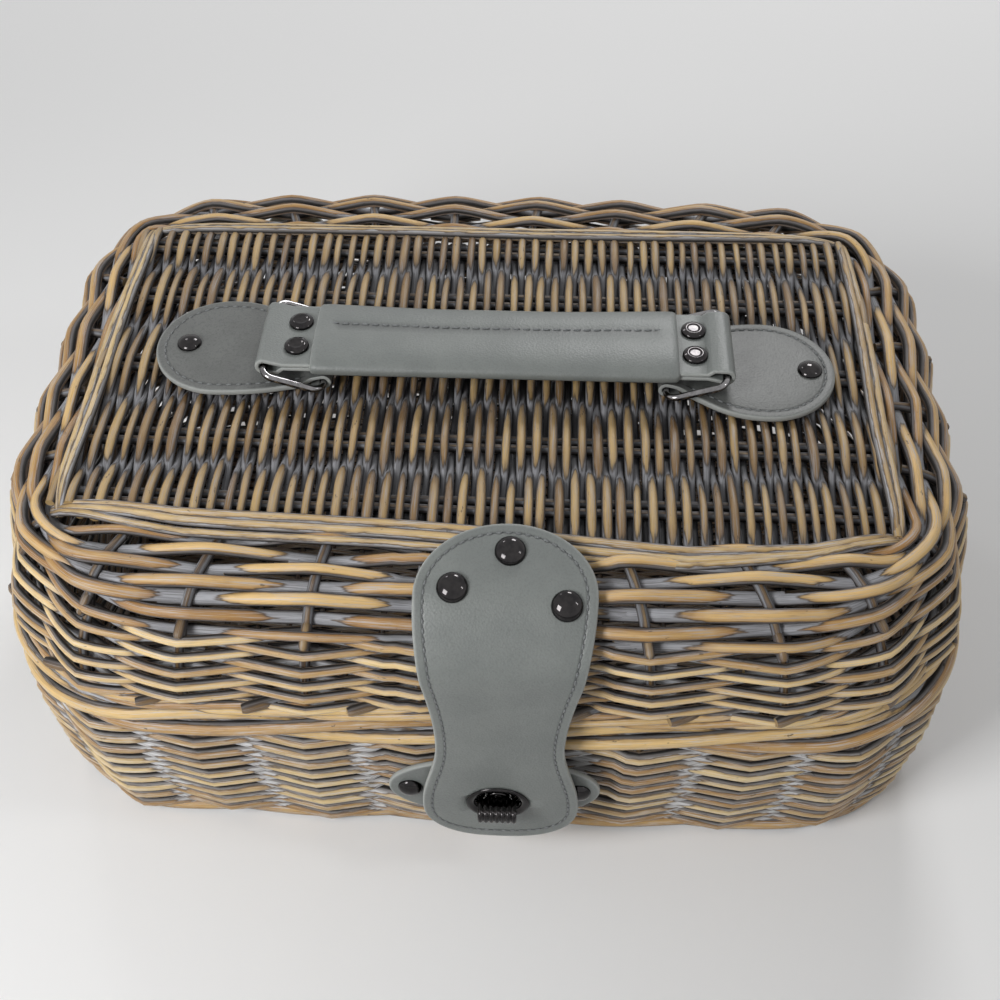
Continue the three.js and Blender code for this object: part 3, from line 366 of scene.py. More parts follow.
def outline(p, shares, out=0.0):
    """Points on a plan, moved out by out, and the directions that point straight out there."""
    half_x, half_y, corner, bow, x, y = p
    a, b, starts = sides_of(p)
    s = (np.asarray(shares) % 1) * starts[-1]
    i = np.clip(np.searchsorted(starts, s, side="right") - 1, 0, 8)
    t = s - starts[i]
    run_from = np.array([(0, -half_y), (0, 0), (half_x, -b), (0, 0), (a, half_y), (0, 0), (-half_x, b), (0, 0),
                         (-a, -half_y)])[i]
    heading = np.array([(1, 0), (0, 0), (0, 1), (0, 0), (-1, 0), (0, 0), (0, -1), (0, 0), (1, 0)])[i]
    middle = np.array([(0, 0), (a, -b), (0, 0), (a, b), (0, 0), (-a, b), (0, 0), (-a, -b), (0, 0)])[i]
    angle = np.array([0, -0.5, 0, 0, 0, 0.5, 0, 1, 0])[i] * math.pi + t / corner
    bend = (i % 2 == 1)[:, None]
    radial = np.stack([np.cos(angle), np.sin(angle)], 1)
    point = np.where(bend, middle + corner * radial, run_from + heading * t[:, None])
    along = np.where(bend, np.stack([-radial[:, 1], radial[:, 0]], 1), heading)
    on_side = np.where(np.abs(point[:, 0]) < a, (point[:, 0] / a) ** 2, 1) * np.abs(along[:, 0])
    outward = np.stack([along[:, 1], -along[:, 0]], 1)
    return point + outward * (out - bow * on_side)[:, None] + (x, y), outward


print("rim outline", round(sides_of(RIM)[2][-1]), "mm round")

# %% [markdown]
# A wall is a plan that grows and shrinks with height: the body bells out, and the lid's skirt turns over its
# knee into a swelling shoulder. A function of height and share is easier to weave on than a mesh, since a
# weaver only needs to know where the wall is and which way is out.

# %% Skins of the walls
def at_height(p, z, shares):
    points, _ = outline(p, shares)
    return np.column_stack([points, np.full(len(points), z)])


def body_plan(z):
    t = np.clip(z / BODY_HEIGHT, 0, 1)
    p = FOOT + (RIM - FOOT) * math.sin(t * math.pi / 2)
    p[2] = FOOT[2] + (RIM[2] - FOOT[2]) * t ** 1.4
    return p


def body_skin(s, shares):
    """The body's wall at height s."""
    return at_height(body_plan(s), s, shares)


def shoulder_plan(t):
    """The lid's plan and height, from its knee at 0 to the edge of its panel at 1."""
    swell = 6 * math.sin(math.pi * min(t, 1))
    return KNEE + (EDGE - KNEE) * t + 0.5 * swell * GROW, KNEE_Z + (PANEL_EDGE_Z - KNEE_Z) * t + 0.87 * swell


def lid_skin(s, shares):
    """The lid's wall: 0 is the foot of its skirt, 1 its knee and 2 the edge of its panel."""
    if s > 1:
        return at_height(*shoulder_plan(s - 1), shares)
    return at_height(LID_RIM + (KNEE - LID_RIM) * max(s, 0) ** 2.2,
                     LID_WALL_BOTTOM + (KNEE_Z - LID_WALL_BOTTOM) * s, shares)


def unit(vectors):
    return vectors / np.maximum(np.linalg.norm(vectors, axis=-1, keepdims=True), 1e-9)


def on_skin(skin, s, shares, step):
    """Points of a wall, the directions up it, and the directions straight out of it."""
    rise = unit(skin(s + step, shares) - skin(s - step, shares))
    along = unit(skin(s, shares + 0.001) - skin(s, shares - 0.001))
    return skin(s, shares), rise, unit(np.cross(along, rise))


def up_skin(skin, levels, share, step):
    """A line up a wall at one share, and the directions straight out of the wall along it."""
    found = [on_skin(skin, level, share, step) for level in levels]
    return np.concatenate([point for point, _, _ in found]), np.concatenate([out for _, _, out in found])


print("knee", KNEE_Z, "mm and panel", PANEL_EDGE_Z, "mm above the floor")

# %% [markdown]
# Stakes are the upright rods that a wall is woven round. Those at the front stand where the photograph
# shows them, and the others are spread evenly, since nobody sees them there.

# %% Places of the stakes
STAKES = 28
BODY_STAKE_X = (-111.5, -67.5, -24.0, 19.5, 63.0, 107.0)
LID_STAKE_X = (-115.6, -66.1, -21.5, 23.1, 67.7, 119.1)
STUB_X = (-133.5, -91.3, -49.6, -8.0, 33.5, 75.1, 115.9)


def stake_shares(front_x, p):
    """How far round a plan each stake stands: the front ones as seen, the rest evenly spread."""
    front = np.array(front_x) / sides_of(p)[2][-1]
    rest = np.linspace(front[-1], 1 + front[0], STAKES - len(front) + 2)
    return np.concatenate([front, rest[1:]])


def at_lap(stakes, laps):
    """The share at a count of stakes, which may run past a whole turn."""
    turns = np.floor(np.asarray(laps) / STAKES)
    return np.interp(laps - turns * STAKES, np.arange(STAKES + 1), stakes) + turns


body_stakes_at = stake_shares(BODY_STAKE_X, body_plan(WALL_BOTTOM))
lid_stakes_at = stake_shares(LID_STAKE_X, LID_RIM)
stubs_at = stake_shares(STUB_X, LID_RIM)
print(STAKES, "stakes round each wall,", len(BODY_STAKE_X), "of them seen at the front")

# %% [markdown]
# Every willow rod here is one recipe: a line in space, swung in and out past the stakes and given a round
# skin. The swing is a wave along the row. Crease makes its turns sharper, as willow kinks where it is
# beaten down. The same recipe with no swing makes stakes, border strands and the panel's rods.
# It also notes on each point how proud of its line the skin stands and how far it turns from the wall's
# outward direction. The finish reads these as wear and, where the skin lies low or turns into a gap, as
# painted shade. It marks the cut ends too. It counts the turn round the rod evenly, so that the rubbed wood
# ends in a point, as it does on the real rods.

# %% Rod recipe
def geometry_group(name, inputs):
    """A Geometry Nodes tree, and what gives its result one material and smooth shading."""
    recipe, given, result = group(name, "GeometryNodeTree",
                                  {"Geometry": "Geometry", **inputs, "Material": "Material"},
                                  {"Geometry": "Geometry"})
    recipe.tree.is_modifier = True

    def complete(made, smooth=True):
        made = recipe.add("GeometryNodeRealizeInstances", {"Geometry": made})
        made = recipe.add("GeometryNodeSetShadeSmooth", {"Geometry": made, "Shade Smooth": smooth})
        made = recipe.add("GeometryNodeSetMaterial", {"Geometry": made, "Material": given["Material"]})
        recipe.put(made, result["Geometry"])
        return recipe.tree

    return recipe, given, complete


def point_mark(recipe, name, kind="FLOAT"):
    return recipe.add("GeometryNodeInputNamedAttribute", {"Name": name}, "Attribute", data_type=kind)


def rod_tree():
    recipe, given, complete = geometry_group("willow_rod", {
        "Swing": "Float", "Crease": "Float", "Rod radius": "Float", "Sides": "Int"})
    calc, vector = recipe.calc, recipe.vector

    def keep(made, name, value, kind="FLOAT_VECTOR", domain="POINT"):
        return recipe.add("GeometryNodeStoreNamedAttribute", {"Geometry": made, "Name": name, "Value": value},
                          data_type=kind, domain=domain)

    position = recipe.add("GeometryNodeInputPosition")
    outward = point_mark(recipe, "outward", "FLOAT_VECTOR")
    line = keep(recipe.add("GeometryNodeMeshToCurve", {"Mesh": given["Geometry"]}), "base", position)
    wave = calc("ARCSINE", calc("COSINE", point_mark(recipe, "lap") * math.pi) * given["Crease"])
    reach = wave / calc("ARCSINE", given["Crease"]) * given["Swing"]
    offset = recipe.add("ShaderNodeVectorMath", {0: outward, "Scale": reach}, operation="SCALE")
    line = keep(recipe.add("GeometryNodeSetPosition", {"Geometry": line, "Offset": offset}), "core", position)
    section = recipe.add("GeometryNodeCurvePrimitiveCircle", {"Resolution": given["Sides"], "Radius": 1.0})
    thick = point_mark(recipe, "thick") * given["Rod radius"]
    skin = recipe.add("GeometryNodeCurveToMesh", {"Curve": line, "Profile Curve": keep(section, "round", position),
                                                  "Scale": thick, "Fill Caps": True})
    core, base = (point_mark(recipe, name, "FLOAT_VECTOR") for name in ("core", "base"))
    stand = vector("DOT_PRODUCT", vector("SUBTRACT", core, base), outward)
    facing = vector("NORMALIZE", vector("SUBTRACT", position, core))
    turned_away = calc("ARCCOSINE", vector("DOT_PRODUCT", facing, outward))
    proud = stand + thick * (1.0 - turned_away * 0.8) + point_mark(recipe, "lift")
    skin = keep(skin, "proud", proud, "FLOAT")
    skin = keep(skin, "turned", turned_away, "FLOAT")
    corners = recipe.add("GeometryNodeInputMeshFaceNeighbors", output="Vertex Count")
    cut = recipe.add("FunctionNodeCompare", {"A": corners, "B": 4}, data_type="INT", operation="GREATER_THAN")
    skin = keep(skin, "cut", cut, "FLOAT", "FACE")
    return complete(skin, recipe.add("FunctionNodeBooleanMath", {0: cut}, operation="NOT"))


rods_tree = rod_tree()
print("rod recipe has", len(rods_tree.nodes), "nodes")

# %% [markdown]
# A recipe works as a modifier on a mesh of bare lines, whose points carry the marks that it reads. What it
# makes is kept as a plain mesh, and the lines are thrown away: the piece no longer depends on the recipe.

# %% Rods from lines
def evaluated(source):
    """An object's mesh with its modifiers carried out."""
    depsgraph = bpy.context.evaluated_depsgraph_get()
    return bpy.data.meshes.new_from_object(source.evaluated_get(depsgraph), preserve_all_data_layers=True,
                                           depsgraph=depsgraph)


def grow(name, mesh, tree, inputs):
    """Runs a mesh through a Geometry Nodes tree and keeps the result as a plain mesh on a new object."""
    source = placed(name + "_lines", mesh)
    modifier = source.modifiers.new("make", "NODES")
    modifier.node_group = tree
    for item in tree.interface.items_tree:
        if item.in_out == "INPUT" and item.name in inputs:
            modifier[item.identifier] = inputs[item.name]
    made = evaluated(source)
    bpy.data.objects.remove(source)
    bpy.data.meshes.remove(mesh)
    made.name = name
    return placed(name, made)


def mark(mesh, key, values):
    """Writes a number or a direction on each point of a mesh, for a recipe or a finish to read."""
    values = np.asarray(values, dtype=float)
    kind, field = ("FLOAT_VECTOR", "vector") if values.ndim == 2 else ("FLOAT", "value")
    mesh.attributes.new(key, kind, "POINT").data.foreach_set(field, values.ravel())


def line_mesh(name, lines):
    """A mesh of bare edges along lines, which are dictionaries with points in mm and may be closed."""
    edges, start = [], 0
    for line in lines:
        last = start + len(line["points"]) - 1
        edges += [(i, i + 1) for i in range(start, last)]
        if line.get("closed"):
            edges.append((last, start))
        start = last + 1
    mesh = bpy.data.meshes.new(name + "_lines")
    points = np.concatenate([line["points"] for line in lines]) * MM
    mesh.from_pydata([tuple(p) for p in points], edges, [])
    return mesh


# lift raises or lowers how proud a skin counts: the finish rubs raised skin and paints shade on low skin
ROD_MARKS = {"outward": (0, 0, 1), "lap": 0.5, "thick": 1.0, "tone": 0.5, "lift": 0.0, "along": 0.0}


def rods(name, lines, material, radius, swing=0.0, crease=0.9, sides=10):
    """Rods along lines. A line is a dictionary of points and of marks, one for all points or one for each."""
    mesh = line_mesh(name, lines)
    for line in lines:
        run = np.linalg.norm(np.diff(line["points"], axis=0), axis=1)
        line["along"] = (np.concatenate([[0], np.cumsum(run)]) + rng.uniform(0, 900)) * MM
    for key, default in ROD_MARKS.items():
        shape = np.shape(default)
        mark(mesh, key, np.concatenate([
            np.broadcast_to(np.asarray(line.get(key, default), dtype=float), (len(line["points"]), *shape))
            for line in lines]))
    return grow(name, mesh, rods_tree, {"Swing": swing * MM, "Crease": crease, "Rod radius": radius * MM,
                                        "Sides": sides, "Material": material})


print("a rod has the marks", *ROD_MARKS)

# %% [markdown]
# Each visible piece rides on one of the frame's bodies and says which solids it stands for, so that nothing
# is shown twice or left out. Its faces have to look outward, and its volume tells whether they do: it is
# negative if they look in.

# %% Seating a piece
def face_outward(piece):
    """Turns the faces of a closed mesh outward, if they point in."""
    mesh = bmesh.new()
    mesh.from_mesh(piece.data)
    if mesh.calc_volume(signed=True) < 0:
        bmesh.ops.reverse_faces(mesh, faces=mesh.faces)
        mesh.to_mesh(piece.data)
    mesh.free()


def seat(piece, body, replaces=()):
    """Hands a finished piece to the frame: the body it rides on and the nodes it stands for."""
    face_outward(piece)
    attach(piece, body)
    if replaces:
        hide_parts(*replaces)
    print(piece.name, "has", sum(len(face.vertices) - 2 for face in piece.data.polygons), "triangles")


# %% [markdown]
# The walls are randed: each weaver goes in front of one stake and behind the next,
# and the row above does the opposite. A weaver is a real rod of some 600 mm, thick at its butt and thin at
# its tip, so a row needs several, and their ends hide behind stakes. Leather lies tight on the weave, which
# is beaten flatter there.

# %% Woven rows
FLAP_X, PATCH_X, HINGE_X = 9.7, 7.0, 108.0
LOCK_X, LOCK_Z = 8.7, 59.5
WEAVERS, OVERLAP, SAMPLES = 3, 0.3, 10
BUTT_AND_TIP = (1.1, 0.86)


def pressed(points):
    """How far the weave is beaten in under the flap, the lock's patch and the hinge straps, in mm."""
    x, y, z = points.T
    under_flap = (y < 0) & (np.abs(x - FLAP_X) < 40) & (z > 105)
    under_patch = (y < 0) & (np.abs(x - PATCH_X) < 50) & (np.abs(z - LOCK_Z) < 27)
    under_strap = (y > 0) & (np.abs(np.abs(x) - HINGE_X) < 22) & (z > 55) & (z < 146)
    return np.where(under_patch, 1.6, np.where(under_flap | under_strap, 1.1, 0.0))


def woven_rows(skin, levels, stakes, step, radii, inset, jitter):
    lines = []
    for row, (level, radius) in enumerate(zip(levels, radii)):
        joints = np.sort(rng.choice(STAKES // 2, WEAVERS, replace=False)) * 2 + row % 2
        for first, last in zip(joints, (*joints[1:], joints[0] + STAKES)):
            laps = np.arange(first - OVERLAP, last + OVERLAP, 1 / SAMPLES)
            points, rise, outward = on_skin(skin, level, at_lap(stakes, laps), step)
            wander = np.interp(laps, np.arange(first - 1, last + 2), rng.normal(0, jitter, last + 3 - first))
            wander = wander + rng.normal(0, 0.4 * jitter)
            taper = np.linspace(*(BUTT_AND_TIP if rng.random() < 0.5 else BUTT_AND_TIP[::-1]), len(laps))
            end = np.clip(1 - np.minimum(laps - laps[0], laps[-1] - laps) / 0.45, 0, 1)
            points = points + rise * wander[:, None]
            deep_in = inset + pressed(points) + 1.2 * end
            lines.append({"points": points - outward * deep_in[:, None], "outward": outward,
                          "lap": laps - row % 2 - 1, "thick": taper * radius, "tone": rng.uniform(0, 1),
                          "lift": -0.4 * pressed(points) * MM})
    return lines


body_levels = np.linspace(WALL_BOTTOM + 0.6, WALL_TOP - 1.8, 17)
body_rows = woven_rows(body_skin, body_levels, body_stakes_at, 1.0, np.full(17, 2.65), 4.2, 0.3)
seat(rods("body_weave", body_rows, body_willow, 1.0, 4.3, 0.998), "root", ["side_wall"])
skirt_levels = np.linspace(0.05, 0.96, 10)
skirt_rows = woven_rows(lid_skin, skirt_levels, lid_stakes_at, 0.01, np.full(10, 2.05), 4.2, 0.35)
seat(rods("skirt_weave", skirt_rows, skirt_willow, 1.0, 4.6, 0.998), "lid", ["lid_shell"])
shoulder_levels, shoulder_radii = zip((1.07, 2.3), (1.21, 2.6), (1.36, 2.7), (1.515, 2.7), (1.675, 2.6),
                                      (1.835, 2.5), (1.96, 2.2))
shoulder_rows = woven_rows(lid_skin, shoulder_levels, lid_stakes_at, 0.01, shoulder_radii, 3.6, 0.6)
seat(rods("shoulder_weave", shoulder_rows, shoulder_willow, 1.0, 3.4, 0.95), "lid", ())

# %% [markdown]
# The stakes themselves run up inside the weave, which hides most of them; they show as dark bars between
# the rods. They are the rod recipe without a swing, laid along the wall from its foot to its top.

# %% Stakes
STAKE_INSET = 4.0


def stake_lines(skin, levels, stakes, step):
    lines = []
    for k in range(STAKES):
        points, outward = up_skin(skin, levels, at_lap(stakes, np.array([k])), step)
        points = points - outward * (STAKE_INSET + pressed(points))[:, None]
        lines.append({"points": points, "outward": outward, "tone": rng.uniform(0, 1)})
    return lines


body_stakes = stake_lines(body_skin, np.linspace(WALL_BOTTOM - 2, WALL_TOP + 2, 12), body_stakes_at, 1.0)
seat(rods("body_stakes", body_stakes, stake_willow, 2.2), "root")
lid_stakes = stake_lines(lid_skin, np.linspace(0.02, 1.95, 30), lid_stakes_at, 0.01)
seat(rods("lid_stakes", lid_stakes, stake_willow, 2.1), "lid", ())

# %% [markdown]
# The panel is a flat mat: five pairs of long cross rods, and thin strands that run over one pair and under
# the next. Neighbours do the opposite, so the pointed ends of their floats mesh like the teeth of a zip.
# Strands are laid one by one, each with its own thickness, lean and shade, and dive under the frame at both
# ends.

# %% Panel strands and cross rods
PAIRS = np.array([78.0, 42.0, -4.0, -49.0, -83.0])
PAIR_SPACING = 5.2
CROSS_Z, CROSS_RADIUS = 167.5, 2.0
STRAND_COUNT, SIDE_STRANDS, STRAND_RADIUS, STRAND_RISE = 104, 2, 1.95, 3.5
FRONT_SHARES = (-1, -0.7, -0.2, 0.2, 0.5, 0.8, 1)
FRONT_BOWS = (-6.5, -1.0, 2.4, 6.0, 8.5, 6.0, -1.0)


def front_bow(x):
    """How far the panel's front edge stands out of its straight line: it was bound by hand."""
    return np.interp((x - PANEL_X) / PANEL_HALF_X, FRONT_SHARES, FRONT_BOWS)


def fuller(wave, power):
    """A wave from -1 to 1, kept longer near its ends."""
    return np.sign(wave) * np.abs(wave) ** power


def panel_strands():
    lines = []
    pitch = 2 * (PANEL_HALF_X - 2) / (STRAND_COUNT - 1)
    for i in range(-SIDE_STRANDS, STRAND_COUNT + SIDE_STRANDS):
        x = PANEL_X - PANEL_HALF_X + 2 + i * pitch
        y = np.linspace(PANEL_Y + PANEL_HALF_Y + 1.5, PANEL_Y - PANEL_HALF_Y - 1.5 - front_bow(x), 92)
        shift = rng.normal(0, 3.0, len(PAIRS))
        place = np.interp(-y, -PAIRS, np.arange(len(PAIRS))) + np.interp(y, PAIRS[::-1], shift[::-1]) / 42
        turn = np.cos(math.pi * (place + i % 2))
        rise = STRAND_RISE * fuller(turn, 0.8)
        dive = 0.02 * np.clip(y - PAIRS[0], 0, None) ** 2 + 0.009 * np.clip(PAIRS[-1] - y, 0, None) ** 2
        sway = np.interp(y, PAIRS[::-1], rng.normal(0, 0.45, len(PAIRS)))
        z = CROSS_Z + np.clip(rise - dive, -STRAND_RISE, STRAND_RISE)
        # strands that dive under a cross pair are marked low, so the finish paints shade on them there
        lines.append({"points": np.column_stack([x + sway, y, z]),
                      "thick": rng.uniform(0.8, 1.14) * (0.86 + 0.18 * np.abs(turn)),
                      "tone": np.clip(rng.normal(0.5, 0.3), 0, 1), "lift": (z - CROSS_Z) * MM * 0.5})
    return lines


def cross_rods():
    lines = []
    half = PANEL_HALF_X - 0.5
    for y in PAIRS:
        for side in (-0.5, 0.5):
            x = np.linspace(PANEL_X - half, PANEL_X + half, 60)
            wander = np.interp(x, np.linspace(x[0], x[-1], 9), rng.normal(0, 0.35, 9))
            points = np.column_stack([x, y + side * PAIR_SPACING + wander, np.full(60, CROSS_Z)])
            lines.append({"points": points, "thick": rng.uniform(0.92, 1.05), "tone": rng.uniform(0, 1)})
    return lines


seat(rods("panel_strands", panel_strands(), panel_willow, STRAND_RADIUS), "lid", ["lid_panel"])
seat(rods("panel_cross_rods", cross_rods(), stake_willow, CROSS_RADIUS), "lid", ())

# %% [markdown]
# Borders are strands twisted round each other along the rim. A twist is a small circle that a strand's
# middle goes round as it travels, squeezed to the room that the border has.

# %% Borders
def twisted(p, z, strands, turns, out, across, height, samples=600):
    """Closed strands round a plan: they sit out from it, and swing across it and in height."""
    lines = []
    shares = np.arange(samples) / samples
    for strand in range(strands):
        angle = 2 * math.pi * (turns * shares + strand / strands)
        knots = rng.normal(0, 0.3, 24)
        drift = np.interp(shares * 24, np.arange(25), np.append(knots, knots[0]))
        points, outward = outline(p, shares, out + across * np.cos(angle) + drift)
        lines.append({"points": np.column_stack([points, z + height * np.sin(angle)]), "closed": True,
                      "outward": unit(np.column_stack([outward, np.full(samples, 0.35)])),
                      "thick": 1 + 0.06 * np.sin(2 * math.pi * shares + strand),
                      "tone": rng.uniform(0.2, 0.9), "lift": 0.6 * across * np.cos(angle) * MM})
    return lines


seat(rods("rim_border", twisted(body_plan(96), 95.8, 3, 5, -2.2, 2.5, 6.0), border_willow, 3.1), "root",
     ["rim_rod_lower", "rim_rod_middle", "rim_rod_upper"])
seat(rods("foot_strands", twisted(body_plan(5), 4.6, 2, 9, -4.3, 2.0, 1.2), border_willow, 2.9), "root",
     ["foot_border"])

# %% [markdown]
# The lid's rim is a rolled border: every stake is bent to the left, runs down across the two before it and
# is tucked in. Cut ends show just above, as stubs that point to the left too.

# %% Rolled border of the lid
BORDER_Z, STROKE_LAPS = 109.9, 2.5


def border_strokes():
    lines = []
    for k in range(STAKES):
        t = np.linspace(0, 1, 36)
        tuck = np.clip(1 - np.minimum(t, 1 - t) / 0.16, 0, 1) ** 1.5
        out = -2.9 + 1.2 * np.sin(math.pi * t) - 2.8 * tuck + rng.normal(0, 0.2)
        points, outward = outline(LID_RIM, at_lap(stubs_at, k - 0.15 - STROKE_LAPS * (1 - t)), out)
        height = BORDER_Z - 3.1 * np.cos(math.pi * t) + rng.normal(0, 0.25)
        lines.append({"points": np.column_stack([points, height]),
                      "outward": unit(np.column_stack([outward, np.full(len(t), 0.35)])),
                      "thick": rng.uniform(0.92, 1.08) * (1.05 - 0.2 * t), "tone": rng.uniform(0, 0.9),
                      "lift": (0.8 - 2.6 * tuck) * MM})
    return lines


seat(rods("lid_border", border_strokes(), border_willow, 2.1), "lid", ["lid_border_rod"])

# %% [markdown]
# Long strands lie along the panel's four edges and cover the ends of the mat. They run together at the
# corners, where their own ends are turned down.

# %% Long strands round the panel
FRAME_PLACES = [(-1, -0.8, True), (-1, 2.6, True), (-1, 6.2, True), (1, -1.4, True), (1, 2.4, True),
                (1, 0.0, False), (1, 3.4, False), (-1, 0.0, False), (-1, 3.6, False)]


def edge_strand(sign, offset, along_x):
    """One strand beside an edge of the panel: along_x says whether the edge runs along x or along y."""
    t = np.linspace(-1, 1, 80)
    run = ((PANEL_HALF_X if along_x else PANEL_HALF_Y) + 4.5) * t
    sway = 0.6 * np.sin(5 * t + 2 * offset) + rng.normal(0, 0.9) * t
    reach = (offset + sway) * (1 - 0.75 * np.abs(t) ** 5)
    if along_x:
        x = PANEL_X + run
        if sign < 0:
            reach = reach + front_bow(x)
        y = PANEL_Y + sign * (PANEL_HALF_Y + 1.2 + reach)
    else:
        x = PANEL_X + sign * (PANEL_HALF_X + 0.6 + reach)
        y = PANEL_Y + run + np.where(t < 0, front_bow(PANEL_X + sign * PANEL_HALF_X) * t, 0)
    z = 172.1 - 0.42 * np.clip(reach, 0, None) - 6.0 * np.abs(t) ** 16 + rng.normal(0, 0.15)
    return {"points": np.column_stack([x, y, z]), "tone": rng.uniform(0, 0.7),
            "outward": unit(np.array([0, 0.35 * sign, 1.0] if along_x else [0.35 * sign, 0, 1.0])),
            "thick": rng.uniform(0.85, 1.05) * (1 - 0.15 * np.abs(t) ** 3)}


seat(rods("panel_frame", [edge_strand(*place) for place in FRAME_PLACES], frame_willow, 2.2), "lid",
     ["panel_frame_rod"])

# %% [markdown]
# The lid's stakes end twice: as short stubs that point left above the border, where the next rods were laid
# in, and as ends that stick out of the weave at the knee. Both are cut across, so they taper only close to
# the cut.

# %% Cut ends of the lid's stakes
def stub_lines():
    """Stubs that point left above the border, and the ends that stick out of the weave at the knee."""
    lines = []
    for k in range(STAKES):
        t = np.linspace(0, 1, 12)
        points, rise, outward = on_skin(lid_skin, 0.07, at_lap(stubs_at, k + 0.36 * t), 0.01)
        points = points + outward * (1.6 - 7.0 * t)[:, None]
        points = points + rise * (0.9 + 0.5 * rng.normal() - 0.8 * t)[:, None]
        lines.append({"points": points, "outward": outward, "tone": rng.uniform(0.4, 1),
                      "lift": (3.0 - 4 * t) * MM,
                      "thick": rng.uniform(0.95, 1.15) * np.interp(t, (0, 0.09, 0.18), (0.72, 0.97, 1))})
        levels = np.linspace(1.16, rng.uniform(0.965, 1.03), 9)
        points, outward = up_skin(lid_skin, levels, at_lap(lid_stakes_at, np.array([k])), 0.01)
        out = -3.4 + 4.4 * np.linspace(0, 1, 9) ** 0.8 - pressed(points) * 2
        lines.append({"points": points + outward * out[:, None], "outward": outward, "tone": rng.uniform(0, 1),
                      "thick": rng.uniform(0.85, 1.0) * np.interp(np.arange(9), (6, 7, 8), (1, 0.97, 0.7)),
                      "lift": 1.0 * MM})
    return lines


seat(rods("stake_stubs", stub_lines(), stake_willow, 2.25), "lid", ())

# %% [markdown]
# The floor is not seen in the photograph. Such baskets have a mat of cross rods and weavers, so it gets
# one: stout rods from front to back, and weavers over and under them.

# %% Woven floor
FLOOR_Z, WEAVER_PITCH, FLOOR_STICKS = 3.05, 3.1, 24


def floor_lines():
    half_x, half_y, corner, _, middle_x, _ = body_plan(WALL_BOTTOM) - 5.0 * GROW
    sticks, weavers = [], []

    def reach(value, half_a, half_b):
        """How far the floor reaches across at a place along it."""
        over = max(abs(value) - (half_a - corner), 0)
        return half_b - corner + math.sqrt(max(corner ** 2 - over ** 2, 0)) - 1.5

    stick_x, pitch = np.linspace(-half_x + 8, half_x - 8, FLOOR_STICKS, retstep=True)
    for x in stick_x:
        y = np.linspace(-1, 1, 40) * reach(x, half_x, half_y)
        sticks.append({"points": np.column_stack([np.full(40, x + middle_x), y, np.full(40, FLOOR_Z)]),
                       "tone": rng.uniform(0, 1), "outward": (0, 0, -1)})
    for row, y in enumerate(np.arange(-half_y + 2, half_y - 1, WEAVER_PITCH)):
        x = np.linspace(-1, 1, 140) * reach(y, half_y, half_x)
        weavers.append({"points": np.column_stack([x + middle_x, np.full(140, y), np.full(140, FLOOR_Z)]),
                        "outward": (0, 0, -1), "lap": (x - stick_x[0]) / pitch + row % 2,
                        "tone": rng.uniform(0, 1), "thick": rng.uniform(0.9, 1.06)})
    return sticks, weavers


floor_sticks, floor_weavers = floor_lines()
seat(rods("floor_weavers", floor_weavers, body_willow, 1.9, 1.2, 0.8, 8), "root", ["woven_floor"])
seat(rods("floor_sticks", floor_sticks, stake_willow, 1.7), "root")

# %% [markdown]
# The grey leather is smooth and fine-grained, with cut edges that show a paler core and a grooved line of
# stitches. Grain is a soft bump of small cells. Each leather piece marks its cut edge and its groove on its
# points, so the finish can lighten the one and darken the other; the dark groove is partly the creased
# leather and partly painted shade.

# %% Leather finish
GRAIN_MM, LEATHER_BUMP, LEATHER_DEEP = 0.9, 0.6, 0.00018
SPECK_DARK, GROOVE_DARK = (0.03, 0.03, 0.032, 1), (0.022, 0.023, 0.025, 1)


def leather_group():
    recipe, given, result = effect("leather", ("Face", "Worn", "Core"), ("Speckle",))
    mix, ramp, noise = recipe.mix, recipe.ramp, recipe.noise
    place, edge, groove = recipe.on_object(), recipe.attribute("edge"), recipe.attribute("groove")
    cells = recipe.add("ShaderNodeTexVoronoi", {"Vector": place, "Scale": 1000.0 / GRAIN_MM, "Randomness": 1.0},
                       "Distance", feature="F1")
    clouds = noise(place, 42.0, 4.0, 0.6)
    specks = ramp(noise(place, 1100.0, 3.0, 0.7), 0.5, 0.62)
    colour = mix(ramp(clouds, 0.35, 0.7, 0.0, 0.6), given["Face"], given["Worn"])
    colour = mix(specks * given["Speckle"], colour, SPECK_DARK)
    # the stitch groove darkened: partly creased leather, partly painted shade
    colour = mix(groove * 0.8, colour, GROOVE_DARK)
    colour = mix(edge * 0.75, colour, given["Core"])
    recipe.put(colour, result["Color"])
    recipe.put(clouds * 0.16 + edge * 0.25 + 0.36, result["Roughness"])
    recipe.put(cells * 0.7 + noise(place, 1700.0, 2.0) * 0.3, result["Height"])
    return recipe.tree


leather_finish = leather_group()


def leather_material(name, face, worn, core, speckle):
    values = {"Face": face, "Worn": worn, "Core": core, "Speckle": speckle}
    return surface(name, leather_finish, values, LEATHER_BUMP, LEATHER_DEEP)[0]


smooth_leather = leather_material("smooth_leather", (108, 112, 110), (121, 125, 122), (164, 167, 164), 0.12)
tab_leather = leather_material("tab_leather", (80, 82, 80), (98, 100, 98), (160, 163, 160), 0.35)
thread, thread_recipe, thread_shader = new_material("grey_thread")
twill = thread_recipe.noise(thread_recipe.on_object(), 2600.0, 2.0)
thread_recipe.put(thread_recipe.mix(twill, srgb(74, 76, 78), srgb(132, 135, 135)), thread_shader["Base Color"])
thread_shader["Roughness"].default_value = 0.7
print("leather finishes ready")

# %% [markdown]
# Every rivet and lock part is dark nickel plate, polished, with faint scuffs. Its darkness is partly the
# smoked plate and partly painted shade, in place of the dark room that polished metal would mirror.
# The rings are the same metal in a brighter copy, a painted reflection that stands in for the shine they catch.

